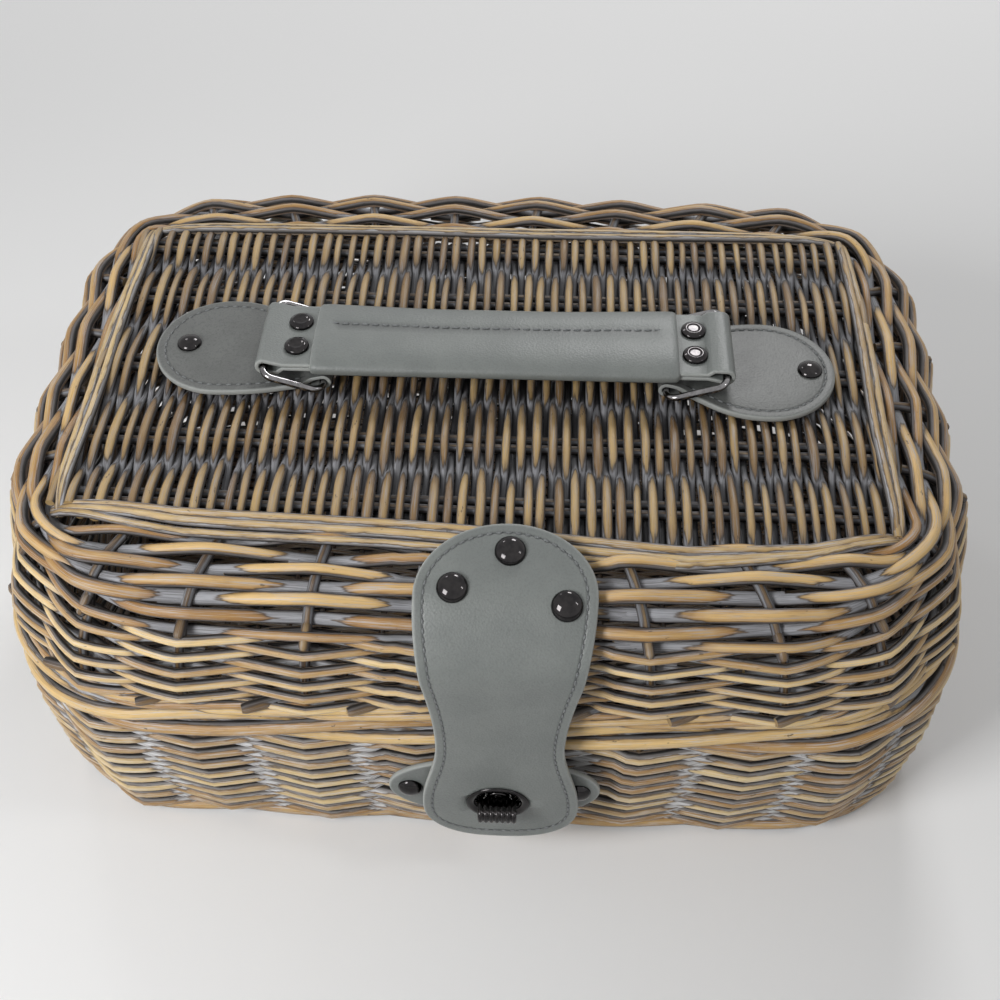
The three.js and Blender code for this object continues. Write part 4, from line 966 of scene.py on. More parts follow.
# %% Nickel finishes
def nickel(name, clean, scuffed):
    material, recipe, shader = new_material(name)
    scuffs = recipe.noise(recipe.on_object(), 260.0, 5.0, 0.7)
    recipe.put(recipe.mix(recipe.ramp(scuffs, 0.35, 0.7), srgb(*clean), srgb(*scuffed)), shader["Base Color"])
    recipe.put(recipe.ramp(scuffs, 0.4, 0.75, 0.05, 0.2), shader["Roughness"])
    shader["Metallic"].default_value = 1.0
    return material


# dark tone: partly smoked plate, partly painted shade in place of dark reflections
dark_nickel = nickel("dark_nickel", (58, 56, 56), (44, 43, 44))
# the same nickel made brighter: a painted reflection
wire_with_painted_sheen = nickel("wire_with_painted_sheen", (134, 132, 133), (96, 95, 96))
print("nickel finish ready")

# %% [markdown]
# A sheet of leather is drawn flat, as a pattern cutter would, and then laid along a line in space.
# Its outline is stepped inward in rings: over the rounded edge, down into the stitch groove and out again,
# and then to a spine along the middle. That gives clean, even faces that bend well.

# %% Lines and outlines of leather
class Run:
    """A line in a plane, measured along its length in mm."""

    def __init__(self, points):
        self.points = np.asarray(points, dtype=float)
        self.s = np.concatenate([[0], np.cumsum(np.linalg.norm(np.diff(self.points, axis=0), axis=1))])
        self.long = self.s[-1]
        self.heading = unit(np.gradient(self.points, self.s, axis=0))

    def at(self, s):
        """Points and the directions square to the line, on its left."""
        point = np.column_stack([np.interp(s, self.s, self.points[:, i]) for i in (0, 1)])
        heading = unit(np.column_stack([np.interp(s, self.s, self.heading[:, i]) for i in (0, 1)]))
        return point, np.column_stack([-heading[:, 1], heading[:, 0]])


SEAM_INSET = 3.95


def straight_out(rim):
    """The directions straight out of a closed outline, at each of its points."""
    along = unit(np.roll(rim, -1, axis=0) - np.roll(rim, 1, axis=0))
    out = np.column_stack([along[:, 1], -along[:, 0]])
    return out if np.sum(out * (rim - rim.mean(axis=0))) > 0 else -out


def seam_of(rim):
    """The closed line in which a sheet is sewn."""
    seam = rim - straight_out(rim) * SEAM_INSET
    return np.concatenate([seam, seam[:1]])


def round_end(long, half, count, lean=0.0):
    """A quarter of an oval, from the middle of a sheet's end to its side: along and across."""
    angle = np.linspace(0, math.pi / 2, count)
    return np.column_stack([long * (1 - np.cos(angle)), lean + half * np.sin(angle)])


def closed_rim(right_side, left_side):
    """The outline of a sheet from its two sides, both given as along and half width."""
    return np.concatenate([right_side, (left_side * (1, -1))[-2:0:-1]])


def straight_spine(start, end):
    return lambda rim: np.column_stack([np.clip(rim[:, 0], start, end), np.zeros(len(rim))])


def laid_along(line, x, lean=0.0, lean_long=1.0):
    """Lays a flat pattern along a line in y and z. Its first stretch may lean to one side."""
    def place(along, across, height):
        point, left_hand = line.at(along)
        return np.column_stack([x + lean * np.maximum(0, 1 - along / lean_long) + across,
                                point - left_hand * height])
    return place


print("leather is sewn", SEAM_INSET, "mm from its edge")

# %% [markdown]
# A sheet is built ring by ring, from under its middle, round its edge and over its face. Each ring has as
# many points as the outline, so the faces between two rings are all made in the same way. A solid with a
# bevel could do the edge too, but not the groove that runs beside it.

# %% Sheets of leather
# each ring of a sheet's face: how far it is stepped in, its height, and how much is cut edge and groove
FACE_RINGS = [(0, -0.3, 1, 0), (0, 0.22, 1, 0), (0.22, 0.41, 1, 0), (0.7, 0.5, 0.3, 0), (1.3, 0.5, 0, 0),
              (3.0, 0.5, 0, 0), (3.5, 0.46, 0, 0.3), (3.95, 0.36, 0, 1), (4.4, 0.46, 0, 0.3), (5.0, 0.5, 0, 0)]
SPINE_STEPS = (0.3, 0.65, 1.0)


def round_angles(count):
    return np.arange(count) / count * 2 * math.pi


def ring_faces(rings, count, closed=False):
    """The faces between rings of points that follow each other, and back to the first if closed."""
    following = [*range(1, rings), 0] if closed else range(1, rings)
    return [(i * count + j, i * count + (j + 1) % count, k * count + (j + 1) % count, k * count + j)
            for i, k in enumerate(following) for j in range(count)]


def mesh_piece(name, points, faces, material, marks=None, merge=0.004):
    """A piece from points in mm. marks are numbers on its points for the finish to read."""
    mesh = bpy.data.meshes.new(name)
    mesh.from_pydata([tuple(p) for p in points * MM], [], faces)
    for key, values in (marks or {}).items():
        mark(mesh, key, values)
    work = bmesh.new()
    work.from_mesh(mesh)
    bmesh.ops.remove_doubles(work, verts=work.verts, dist=merge * MM)
    bmesh.ops.recalc_face_normals(work, faces=work.faces)
    work.to_mesh(mesh)
    work.free()
    mesh.polygons.foreach_set("use_smooth", [True] * len(mesh.polygons))
    mesh.materials.append(material)
    return placed(name, mesh)


def leather(name, rim, place, thick, spine, material, ease=1.0, grooved=True):
    """A sheet with this outline. place takes along, across and height to a point, spine takes rim points
    inward, and ease draws the rings together where the sheet turns tightly."""
    count = len(rim)
    out, ease = straight_out(rim), np.broadcast_to(ease, count)
    rings = [(rim + (spine(rim) - rim) * t, -0.5, 0.5, 0) for t in SPINE_STEPS[::-1]]
    rings.append((rim - out * (0.3 * ease)[:, None], -0.5, 0.5, 0))
    for inset, height, edge, groove in FACE_RINGS:
        if groove and not grooved:
            height, groove = 0.5, 0
        rings.append((rim - out * (inset * ease)[:, None], height, edge, groove * (ease > 0.9)))
    last = rings[-1][0]
    rings += [(last + (spine(rim) - last) * t, 0.5, 0, 0) for t in SPINE_STEPS]
    points = np.concatenate([place(flat[:, 0], flat[:, 1], height * thick) for flat, height, _, _ in rings])
    marks = {"edge": np.repeat([edge for _, _, edge, _ in rings], count),
             "groove": np.concatenate([np.broadcast_to(groove, count) for *_, groove in rings])}
    return mesh_piece(name, points, ring_faces(len(rings), count), material, marks)


print("a face of leather has", len(FACE_RINGS) + len(SPINE_STEPS), "rings")

# %% [markdown]
# A seam is one short slug of thread after another, in the groove. Geometry Nodes set them at even steps
# along the line of the seam and turn each one along it.

# %% Stitches
THREAD_RADIUS = 0.48


def stitch_tree():
    """Stitches along a line: short slugs of thread, end to end with small gaps."""
    recipe, given, complete = geometry_group("stitches", {"Pitch": "Float", "Stitch long": "Float"})
    line = recipe.add("GeometryNodeMeshToCurve", {"Mesh": given["Geometry"]})
    spots, tangent = recipe.pick(recipe.node("GeometryNodeCurveToPoints", {"Curve": line, "Length": given["Pitch"]},
                                             mode="LENGTH"), "Points", "Tangent")
    turn = recipe.add("FunctionNodeAlignRotationToVector", {"Vector": tangent}, axis="X")
    ball = recipe.add("GeometryNodeMeshUVSphere", {"Segments": 8, "Rings": 5, "Radius": 1.0})
    size = recipe.join(given["Stitch long"] * 0.5, THREAD_RADIUS * MM, THREAD_RADIUS * MM)
    slug = recipe.add("GeometryNodeTransform", {"Geometry": ball, "Scale": size})
    return complete(recipe.add("GeometryNodeInstanceOnPoints", {"Points": spots, "Instance": slug,
                                                                "Rotation": turn}))


stitches_tree = stitch_tree()


def stitches(name, points, pitch=3.6, long=2.5):
    return grow(name, line_mesh(name, [{"points": points}]), stitches_tree,
                {"Pitch": pitch * MM, "Stitch long": long * MM, "Material": thread})


print("stitch recipe has", len(stitches_tree.nodes), "nodes")

# %% [markdown]
# The closure flap is one waisted piece of leather, riveted to the shoulder. It comes over the knee and hangs
# over the rim to the lock.

# %% Line of the flap
FLAP_LEAN, FLAP_THICK, FLAP_GAP = 2.1, 2.6, 0.3
FLAP_MIDDLE_Y = -147.17 - FLAP_THICK / 2
FRAME_TOP_Z, SHOULDER_WEAVE = 172.05 + 2.6, 1.2
HANG_TOP_Z, EYELET_BOTTOM, FLAP_TIP_Z = 134, LOCK_Z - 12.3, 34.0


def shoulder_front(t):
    """The y and z of the shoulder's front."""
    p, z = shoulder_plan(t)
    return np.array([p[5] - p[1], z])


def over_shoulder(t, lift):
    rise = unit(shoulder_front(t + 0.01) - shoulder_front(t - 0.01))
    return shoulder_front(t) + np.array([-rise[1], rise[0]]) * lift


def through(points, samples=24):
    """A smooth line through points."""
    points = [np.asarray(p, dtype=float) for p in (points[0], *points, points[-1])]
    made = []
    for a, b, c, d in zip(points, points[1:], points[2:], points[3:]):
        for t in np.arange(samples) / samples:
            made.append(b + 0.5 * t * (c - a + t * (2 * a - 5 * b + 4 * c - d + t * (3 * (b - c) + d - a))))
    return made + [points[-1]]


flap_bend = through([(shoulder_front(1)[0] + 2.5, FRAME_TOP_Z + FLAP_GAP + FLAP_THICK / 2),
                     *(over_shoulder(t, SHOULDER_WEAVE + FLAP_GAP + FLAP_THICK / 2) for t in (0.7, 0.45, 0.2)),
                     (FLAP_MIDDLE_Y + 0.8, (shoulder_front(0.2)[1] + HANG_TOP_Z) / 2),
                     (FLAP_MIDDLE_Y, HANG_TOP_Z)])
hang = [(FLAP_MIDDLE_Y, z) for z in np.linspace(HANG_TOP_Z, EYELET_BOTTOM, 40)[1:]]
flare = [(FLAP_MIDDLE_Y - 1.6 * t * t, EYELET_BOTTOM + (FLAP_TIP_Z - EYELET_BOTTOM) * t)
         for t in np.arange(1, 13) / 12]
flap_run = Run(flap_bend + hang + flare)
print("flap", round(flap_run.long), "mm long along its bend")

# %% [markdown]
# The flap's outline has broad shoulders, a waist and a lobe with a blunt tip, as measured on the photograph.
# It is drawn for one side and mirrored, as a pattern is cut from a folded sheet.

# %% Pattern of the flap
hang_from = Run(flap_bend).long + HANG_TOP_Z
SHOULDERS, WAIST, LOBE = (29, 34.4), (hang_from - 99, 25.5), (hang_from - 56, 32.2)


def side_between(start, end, count):
    """A side that swings smoothly from one place to another, both given as along and half width."""
    t = np.linspace(0, 1, count)[1:]
    return start + np.subtract(end, start) * np.column_stack([t, 0.5 - 0.5 * np.cos(math.pi * t)])


def flap_half_side():
    """The flap's right side, from the middle of its top edge to its tip: along and half width."""
    angle = np.linspace(0, math.pi / 2, 20)[1:]
    tip = np.column_stack([LOBE[0] + (flap_run.long - LOBE[0]) * np.sin(angle) ** (2 / 2.6),
                           LOBE[1] * np.cos(angle) ** (2 / 2.6)])
    return np.concatenate([round_end(*SHOULDERS, 18), side_between(SHOULDERS, WAIST, 22),
                           side_between(WAIST, LOBE, 14), tip])


flap_rim = closed_rim(flap_half_side(), flap_half_side())
flap_place = laid_along(flap_run, FLAP_X, FLAP_LEAN, WAIST[0])
flap = leather("flap_leather", flap_rim, flap_place, FLAP_THICK, straight_spine(26, flap_run.long - 22),
               smooth_leather)


print("flap outline has", len(flap_rim), "points")

# %% [markdown]
# The lock's knob comes through an oval hole. It is punched with a boolean, because the hole lies across the
# rings that the sheet is made of, and its rim is covered by the metal eyelet.

# %% Hole of the flap
def carve(piece, cutter):
    """Cuts one closed mesh out of another."""
    cutting = piece.modifiers.new("cut", "BOOLEAN")
    cutting.object, cutting.operation, cutting.solver = cutter, "DIFFERENCE", "EXACT"
    made = evaluated(piece)
    piece.modifiers.remove(cutting)
    piece.data = made
    bpy.data.objects.remove(cutter)


def turned(profile, sides):
    """Points and faces of a profile of (radius, height) spun round an axis. It may end on the axis."""
    x, y = np.cos(round_angles(sides)), np.sin(round_angles(sides))
    points = np.concatenate([np.column_stack([r * x, r * y, np.full(sides, h)]) for r, h in profile])
    return points, ring_faces(len(profile), sides)


def on_lock(points, y):
    """Turned points, laid on the axis of the lock, which points to the front."""
    return np.column_stack([LOCK_X + points[:, 0], y - points[:, 2], LOCK_Z + points[:, 1]])


EYELET = (10.8, 9.4)
punch_points, punch_faces = turned([(0, 10), (1, 10), (1, -10), (0, -10)], 64)
punch_points = on_lock(punch_points * (*EYELET, 1), FLAP_MIDDLE_Y)
carve(flap, mesh_piece("eyelet_punch", punch_points, punch_faces, smooth_leather))
print("flap has", len(flap.data.polygons), "faces after the punch")

# %% [markdown]
# The seam is laid in the same groove that the sheet has, along the same bent line. Only the leather stands
# for the solids; its thread is an extra.

# %% Seam of the flap
def sewing(name, rim, place, thick):
    """The stitches that lie in the groove of a sheet."""
    seam = seam_of(rim)
    return stitches(name, place(seam[:, 0], seam[:, 1], thick * 0.36 + 0.2))


for piece in (flap, sewing("flap_stitches", flap_rim, flap_place, FLAP_THICK)):
    face_outward(piece)
    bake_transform(piece)
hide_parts("flap_upper", "flap_lower")

# %% [markdown]
# Each handle tab is one strip: an oval riveted to the panel, whose narrow end rises over the wire ring,
# turns round it and tucks back under. The pattern is drawn flat and laid along that bent line, so the cut
# edge shows its pale core all the way round the loop.

# %% Handle tabs
HANDLE_X, HANDLE_Y = 2.7, -6.0
TAB_BAR, TAB_BAR_Z, TAB_Z = 71.0, 177.1, 174.6
HANDLE_BAR, HANDLE_BAR_Z = 94.71, 185.03
TAB_LOOP, NECK, OVAL = 2.6, 18.5, 29.4
TABS = {"left": (-1, 74.5, -5.5), "right": (1, 71.0, -2.5)}


def arc(x, z, radius, start, end, count=15):
    angle = np.radians(np.linspace(start, end, count))
    return [(x + radius * math.cos(a), z + radius * math.sin(a)) for a in angle]


def tab_line(long):
    """The strip's middle line, from its outer end to the end that is tucked under."""
    flat = [(x, TAB_Z) for x in np.linspace(long, 13, 30)]
    rise = through([(13, TAB_Z), (9.5, TAB_Z + 0.45), (4.6, TAB_BAR_Z + 1.25), (0, TAB_BAR_Z + TAB_LOOP)], 8)
    tucked = [(2, TAB_BAR_Z - 2.65), (5.5, TAB_BAR_Z - 2.8)]
    return Run(flat + rise[1:] + arc(0, TAB_BAR_Z, TAB_LOOP, 90, 270)[1:] + tucked)


def tab_half_side(long, end, lean):
    """One side of the pattern: along and across. lean is how far the oval lies off the neck's line."""
    a, b, c, d = np.array([(OVAL, lean + OVAL), (OVAL + 22, lean + OVAL), (long - 14, NECK), (long - 6, NECK)])
    t = np.linspace(0, 1, 18)[1:, None]
    neck = (1 - t) ** 3 * a + 3 * t * (1 - t) ** 2 * b + 3 * t * t * (1 - t) * c + t ** 3 * d
    loop = [(s, NECK) for s in np.arange(long - 5.2, end, 0.7)] + [(end, NECK)]
    last = [(end, y) for y in np.linspace(NECK, 0, 9)[1:]]
    return np.concatenate([round_end(OVAL, OVAL, 26, lean), neck, loop, last])


def handle_place(side, x, y, z):
    """A point from the handle's own half: x outward from its middle, y to that half's left."""
    return np.column_stack([HANDLE_X + side * x, HANDLE_Y + side * y, z])


def handle_tab(name, side, long, lean):
    line = tab_line(long)
    rim = closed_rim(tab_half_side(long, line.long, lean), tab_half_side(long, line.long, -lean))

    def place(along, across, height):
        point, left_hand = line.at(along)
        thick = np.interp(along, [long - 13, long - 2], [2.6, 1.6])
        point = point - left_hand * (height * thick)[:, None]
        return handle_place(side, TAB_BAR + point[:, 0], across, point[:, 1])

    def spine(points):
        along = np.clip(points[:, 0], 24, line.long - 2)
        return np.column_stack([along, lean * np.clip((long - 6 - along) / (long - 6 - OVAL), 0, 1)])

    ease = np.interp(rim[:, 0], [long - 8, long - 2], [1, 0.3])
    piece = leather(f"tab_leather_{name}", rim, place, 1.0, spine, tab_leather, ease)
    sewn = rim[:, 0] < long - 9
    start = np.argmax(np.linalg.norm(np.diff(rim[sewn], axis=0), axis=1)) + 1
    seam = np.roll(seam_of(rim)[:-1][sewn], -start, axis=0)
    thread_line = stitches(f"tab_stitches_{name}", place(seam[:, 0], seam[:, 1], 0.42), pitch=4.0, long=2.6)
    seat(piece, "lid", [f"tab_{name}"])
    seat(thread_line, "lid", ())


for tab, (side, long, lean) in TABS.items():
    handle_tab(tab, side, long, lean)

# %% [markdown]
# The handle strap is a long band, folded back on itself round a ring at each end and riveted through both
# layers. A band is a section swept along a line: here the line closes, so the two layers and both loops are
# one piece.

# %% Handle strap
STRAP_HALF, STRAP_THICK, STRAP_FLAT, STRAP_LAYER, STRAP_POCKET = 19.0, 1.8, 87.3, 0.92, 2.95


def band(name, line, half_width, thick):
    """Sweeps a flat section with rounded, pale edges along a closed line."""
    edge = [(half_width, 0.28, 1), (half_width - 0.2, 0.43, 1), (half_width - 0.6, 0.5, 0.3)]
    top = [(x, 0.5, 0) for x in np.linspace(half_width - 1.2, -half_width + 1.2, 6)]
    upper = edge + top + [(-x, h, e) for x, h, e in edge[::-1]]
    section = np.array(upper + [(-x, -h, e) for x, h, e in upper])
    rings = []
    for s in line.s[:-1]:
        point, left_hand = line.at(s)
        at = point - left_hand * (section[:, 1] * thick)[:, None]
        rings.append(handle_place(1, at[:, 0], section[:, 0], at[:, 1]))
    edge_marks = np.tile(section[:, 2], len(rings))
    return mesh_piece(name, np.concatenate(rings), ring_faces(len(rings), len(section), closed=True),
                      smooth_leather, {"edge": edge_marks, "groove": edge_marks * 0})


upper_layer = ([(x, STRAP_LAYER) for x in np.linspace(-STRAP_FLAT, STRAP_FLAT, 40)]
               + through([(STRAP_FLAT, STRAP_LAYER), (88.4, 1.9), (89.6, STRAP_POCKET)], 5)[1:]
               + arc(HANDLE_BAR, 0, STRAP_POCKET, 90, -90, 21))
lower_layer = [(-x, -z) for x, z in upper_layer]
strap_points = [(x, z + HANDLE_BAR_Z) for x, z in upper_layer + lower_layer + upper_layer[:1]]
seat(band("handle_band", Run(strap_points[::-1]), STRAP_HALF, STRAP_THICK), "handle", ["handle_strap"])

# %% [markdown]
# The grip is a padded sleeve, wrapped round the strap and sewn along the top, a third of the way from its
# back edge. Padding swells between the seam and the edges, and the sleeve waists a little towards its
# middle. It is swept from one measured section, because a thin firm pad keeps the shape that it was cut to.

# %% Grip sleeve
GRIP_LONG, GRIP_HALF, GRIP_SIDES, SEAM_Y = 75.6, 21.5, 72, 6.0
GRIP_WAIST, GRIP_BOW = 0.06, 1.3
END_STEPS = np.array([0, 0.15, 0.5, 1.2, 3.0, 6.0])


def grip_section(angle):
    """The sleeve's outside, from the right edge round the top: y, z above the bar and the seam's furrow."""
    y = GRIP_HALF * fuller(np.cos(angle), 0.55)
    swell = np.where(y < SEAM_Y, 5.15 - 1.1 * ((y - SEAM_Y + 13.8) / 15.8) ** 2,
                     4.35 - 0.5 * ((y - SEAM_Y - 7) / 8.5) ** 2)
    z = np.abs(np.sin(angle)) ** 0.7 * np.where(np.sin(angle) >= 0, swell, -3.6)
    return y, z, np.exp(-((y - SEAM_Y) / 0.7) ** 2) * (np.sin(angle) > 0)


def grip_mesh():
    angle = round_angles(GRIP_SIDES)
    y, z, furrow = grip_section(angle)
    rings, edges, grooves = [], [], []
    for x in (*(END_STEPS - GRIP_LONG), *np.linspace(-66, 66, 45), *(GRIP_LONG - END_STEPS[::-1])):
        end, bow = GRIP_LONG - abs(x), math.cos(x / GRIP_LONG * math.pi / 2)
        tuck = 1 - 0.05 * math.exp(-end / 0.5) - 0.0175 * math.exp(-end / 3.5)
        waist = 1 - GRIP_WAIST * bow ** 1.2
        sewn = np.clip((end - 6) / 3, 0, 1)
        crease = 0.12 * math.sin(x * 0.21) * math.sin(x * 0.083 + 1)
        height = z * (1 - 0.22 * math.exp(-end / 0.6)) + crease * (z > 3) - 0.95 * furrow * sewn
        rings.append(np.column_stack([np.full(GRIP_SIDES, x), y * waist * tuck - GRIP_BOW * bow, height]))
        edges.append(math.exp(-end / 0.35))
        grooves.append(furrow * sewn)
    for x in (GRIP_LONG, -GRIP_LONG):
        rings.append(np.column_stack([np.full(GRIP_SIDES, x), 19.3 * fuller(np.cos(angle), 0.35),
                                      2.1 * fuller(np.sin(angle), 0.35)]))
        edges.append(0.6)
        grooves.append(np.zeros(GRIP_SIDES))
    x, y, z = np.concatenate(rings).T
    return mesh_piece("grip_pad", handle_place(1, x, y, z + HANDLE_BAR_Z),
                      ring_faces(len(rings), GRIP_SIDES, closed=True), smooth_leather,
                      {"edge": np.repeat(edges, GRIP_SIDES), "groove": np.concatenate(grooves)})


grip = grip_mesh()
seat(grip, "handle", ["grip_sleeve"])
seam_x = np.linspace(-GRIP_LONG + 8, GRIP_LONG - 8, 90)
seam_bow = np.cos(seam_x / GRIP_LONG * math.pi / 2)
seam_y = SEAM_Y * (1 - GRIP_WAIST * seam_bow) - GRIP_BOW * seam_bow
seat(stitches("grip_stitches", handle_place(1, seam_x, seam_y, np.full(90, HANDLE_BAR_Z + 3.85)), 4.2, 3.2),
     "handle", ())

# %% [markdown]
# An oval patch of leather backs the lock, and takes its rivets. Its edge isn't sewn, so it has no groove, and
# it lies flat: the wall is straight enough here.

# %% Lock patch
PATCH_LONG, PATCH_HIGH, PATCH_THICK, PATCH_BACK_Y = 44.0, 21.0, 2.3, -141.47
PATCH_FACE_Y = PATCH_BACK_Y - PATCH_THICK


def patch_place(along, across, height):
    y = np.full(len(along), PATCH_BACK_Y - PATCH_THICK / 2 - height)
    return np.column_stack([PATCH_X + along, y, LOCK_Z + across])


patch_rim = np.column_stack([PATCH_LONG * np.cos(round_angles(96)), PATCH_HIGH * np.sin(round_angles(96))])
seat(leather("lock_patch_leather", patch_rim, patch_place, PATCH_THICK, lambda rim: rim * (0.55, 0.02),
             smooth_leather, grooved=False), "root", ["lock_patch"])

# %% [markdown]
# Behind, two leather straps are the hinges.

# %% Hinge straps
HINGE_HALF, HINGE_THICK, HINGE_MIDDLE_Y, FOLD_Z = 17.0, 2.4, 145.6, 106.0


def wall_behind(z):
    """The y of the body's back where a hinge strap lies on it."""
    half_x, half_y, corner, bow, _, _ = body_plan(z)
    return half_y - bow * ((HINGE_X - HINGE_HALF) / (half_x - corner)) ** 2 + 2.7


hinge_line = Run(through([(wall_behind(60) + 0.4, 60), (wall_behind(WALL_TOP), WALL_TOP - 2),
                          (HINGE_MIDDLE_Y, FOLD_Z - 5)], 12)
                 + [(HINGE_MIDDLE_Y, z) for z in np.linspace(FOLD_Z - 4, FOLD_Z + 36, 30)])
HINGE_LONG = hinge_line.long
lower_end = round_end(HINGE_HALF, HINGE_HALF, 14)
upper_end = (lower_end * (-1, 1) + (HINGE_LONG, 0))[::-1]
straight = [(s, HINGE_HALF) for s in np.linspace(HINGE_HALF, HINGE_LONG - HINGE_HALF, 22)[1:-1]]
hinge_side = np.concatenate([lower_end, straight, upper_end])
hinge_rim = closed_rim(hinge_side, hinge_side)

for name, side in (("left", -1), ("right", 1)):
    place = laid_along(hinge_line, side * HINGE_X)
    hinge = leather(f"hinge_leather_{name}", hinge_rim, place, HINGE_THICK, straight_spine(15, HINGE_LONG - 15),
                    smooth_leather)
    for piece in (hinge, sewing(f"hinge_stitches_{name}", hinge_rim, place, HINGE_THICK)):
        face_outward(piece)
        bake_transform(piece)
    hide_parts(f"hinge_strap_{name}_upper", f"hinge_strap_{name}_lower")
print("hinge straps", round(HINGE_LONG), "mm long")

# %% [markdown]
# Rivets repeat, so Geometry Nodes set them: one point each, with its size and the way it faces.
# The head is a ball whose upper half is drawn to a dome, or to a flatter cap with a lip, and whose lower half
# is pressed flat.

# %% Rivet recipe
def rivet_tree():
    recipe, given, complete = geometry_group("rivets", {"Fullness": "Float", "Lip": "Float"})
    calc, vector = recipe.calc, recipe.vector
    position = recipe.add("GeometryNodeInputPosition")
    x, y, z = recipe.split(position)
    reach = calc("MINIMUM", vector("LENGTH", vector("MULTIPLY", position, (1, 1, 0))), 1.0)
    crown = calc("POWER", 1.0 - calc("POWER", reach, given["Fullness"]), 1.0 / given["Fullness"])
    off_bead = reach - 0.62
    bead = calc("EXPONENT", off_bead * off_bead * -60.0) * given["Lip"]
    upper = calc("GREATER_THAN", z, 0.001)
    shaped = recipe.join(x, y, (crown + bead) * upper + (1.0 - upper) * -0.12)
    ball = recipe.add("GeometryNodeMeshUVSphere", {"Segments": 40, "Rings": 28, "Radius": 1.0})
    head = recipe.add("GeometryNodeSetPosition", {"Geometry": ball, "Position": shaped})
    facing, size = (point_mark(recipe, name, "FLOAT_VECTOR") for name in ("facing", "size"))
    turn = recipe.add("FunctionNodeAlignRotationToVector", {"Vector": facing}, axis="Z")
    return complete(recipe.add("GeometryNodeInstanceOnPoints", {"Points": given["Geometry"], "Instance": head,
                                                                "Rotation": turn, "Scale": size}))


rivets_tree = rivet_tree()
print("rivet recipe has", len(rivets_tree.nodes), "nodes")

# %% [markdown]
# Three sizes are used: large domes on the flap, small ones on the tabs, the patch and the hinges, and flat
# caps with a lip on the handle. Rivets that move together are one piece.

# %% Rivets
def rivets(name, body, spots, replaces, fullness=2.0, lip=0.0):
    """spots are (point, facing, radius, height) in mm."""
    mesh = line_mesh(name, [{"points": [point]} for point, *_ in spots])
    mark(mesh, "facing", [facing for _, facing, *_ in spots])
    mark(mesh, "size", [(radius * MM, radius * MM, height * MM) for *_, radius, height in spots])
    seat(grow(name, mesh, rivets_tree, {"Fullness": fullness, "Lip": lip, "Material": dark_nickel}), body,
         replaces)


def on_sheet(line, thick, x, along):
    """A point on the outer face of a sheet that lies along a line, and the direction out of it."""
    point, left_hand = line.at(np.array([along]))
    out = np.array([0, *-left_hand[0]])
    return np.array([x, *point[0]]) + out * thick / 2, out


DOME, SMALL_DOME, CAP = (6.0, 3.5), (5.2, 2.9), (5.2, 1.9)
lid_spots = [(*on_sheet(flap_run, FLAP_THICK, FLAP_X + across, along), *DOME)
             for across, along in ((2.8, 11.5), (-18.2, 26.5), (24.3, 32))]
lid_spots += [(handle_place(side, TAB_BAR + 60.6, lean, TAB_Z + 1.35)[0], (0, 0, 1), *SMALL_DOME)
              for side, _, lean in TABS.values()]
lid_spots += [(*on_sheet(hinge_line, HINGE_THICK, side * HINGE_X, HINGE_LONG - 11), *SMALL_DOME)
              for side in (-1, 1)]
rivets("lid_rivets", "lid", lid_spots,
       ["flap_rivet_top", "flap_rivet_left", "flap_rivet_right", "tab_rivet_left", "tab_rivet_right",
        "hinge_rivet_left_upper", "hinge_rivet_right_upper"])
root_spots = [((PATCH_X + side * 35, PATCH_FACE_Y - 0.03, LOCK_Z), (0, -1, 0), *SMALL_DOME) for side in (-1, 1)]
root_spots += [(*on_sheet(hinge_line, HINGE_THICK, side * HINGE_X, 11), *SMALL_DOME) for side in (-1, 1)]
rivets("body_rivets", "root", root_spots,
       ["patch_rivet_left", "patch_rivet_right", "hinge_rivet_left_lower", "hinge_rivet_right_lower"])
cap_spots = [(handle_place(side, HANDLE_BAR - 12.3, row, HANDLE_BAR_Z + 1.85)[0], (0, 0, 1), *CAP)
             for side in (-1, 1) for row in (-7.75, 7.75)]
rivets("strap_rivets", "handle", cap_spots,
       [f"strap_rivet_{side}_{end}" for side in ("left", "right") for end in ("front", "back")], 4.0, 0.16)

# %% [markdown]
# The wire rings are bent from round wire. The rod recipe makes them too: a closed line and a round skin.

# %% Wire rings
RING_LONG, RING_WIDE, RING_CORNER, RING_LEAN, WIRE_RADIUS = 25.0, 48.0, 4.5, math.radians(18.5), 1.5


def ring_line(side):
    plan = np.array([RING_LONG / 2, RING_WIDE / 2, RING_CORNER, 0, RING_LONG / 2, 0])
    out, across = outline(plan, np.arange(160) / 160)[0].T
    points = handle_place(side, TAB_BAR + out * math.cos(RING_LEAN), across, TAB_BAR_Z + out * math.sin(RING_LEAN))
    return {"points": points, "closed": True}


for name, (side, *_) in TABS.items():
    seat(rods(f"ring_{name}", [ring_line(side)], wire_with_painted_sheen, WIRE_RADIUS, sides=20), f"ring_{name}",
         [f"wire_ring_{name}"])

# %% [markdown]
# The twist lock: a base plate with a post on the patch, an oval eyelet round the flap's hole, and a ribbed
# knob that passes through the eyelet and is turned across it. Plate and eyelet are turned profiles, squeezed
# to ovals.

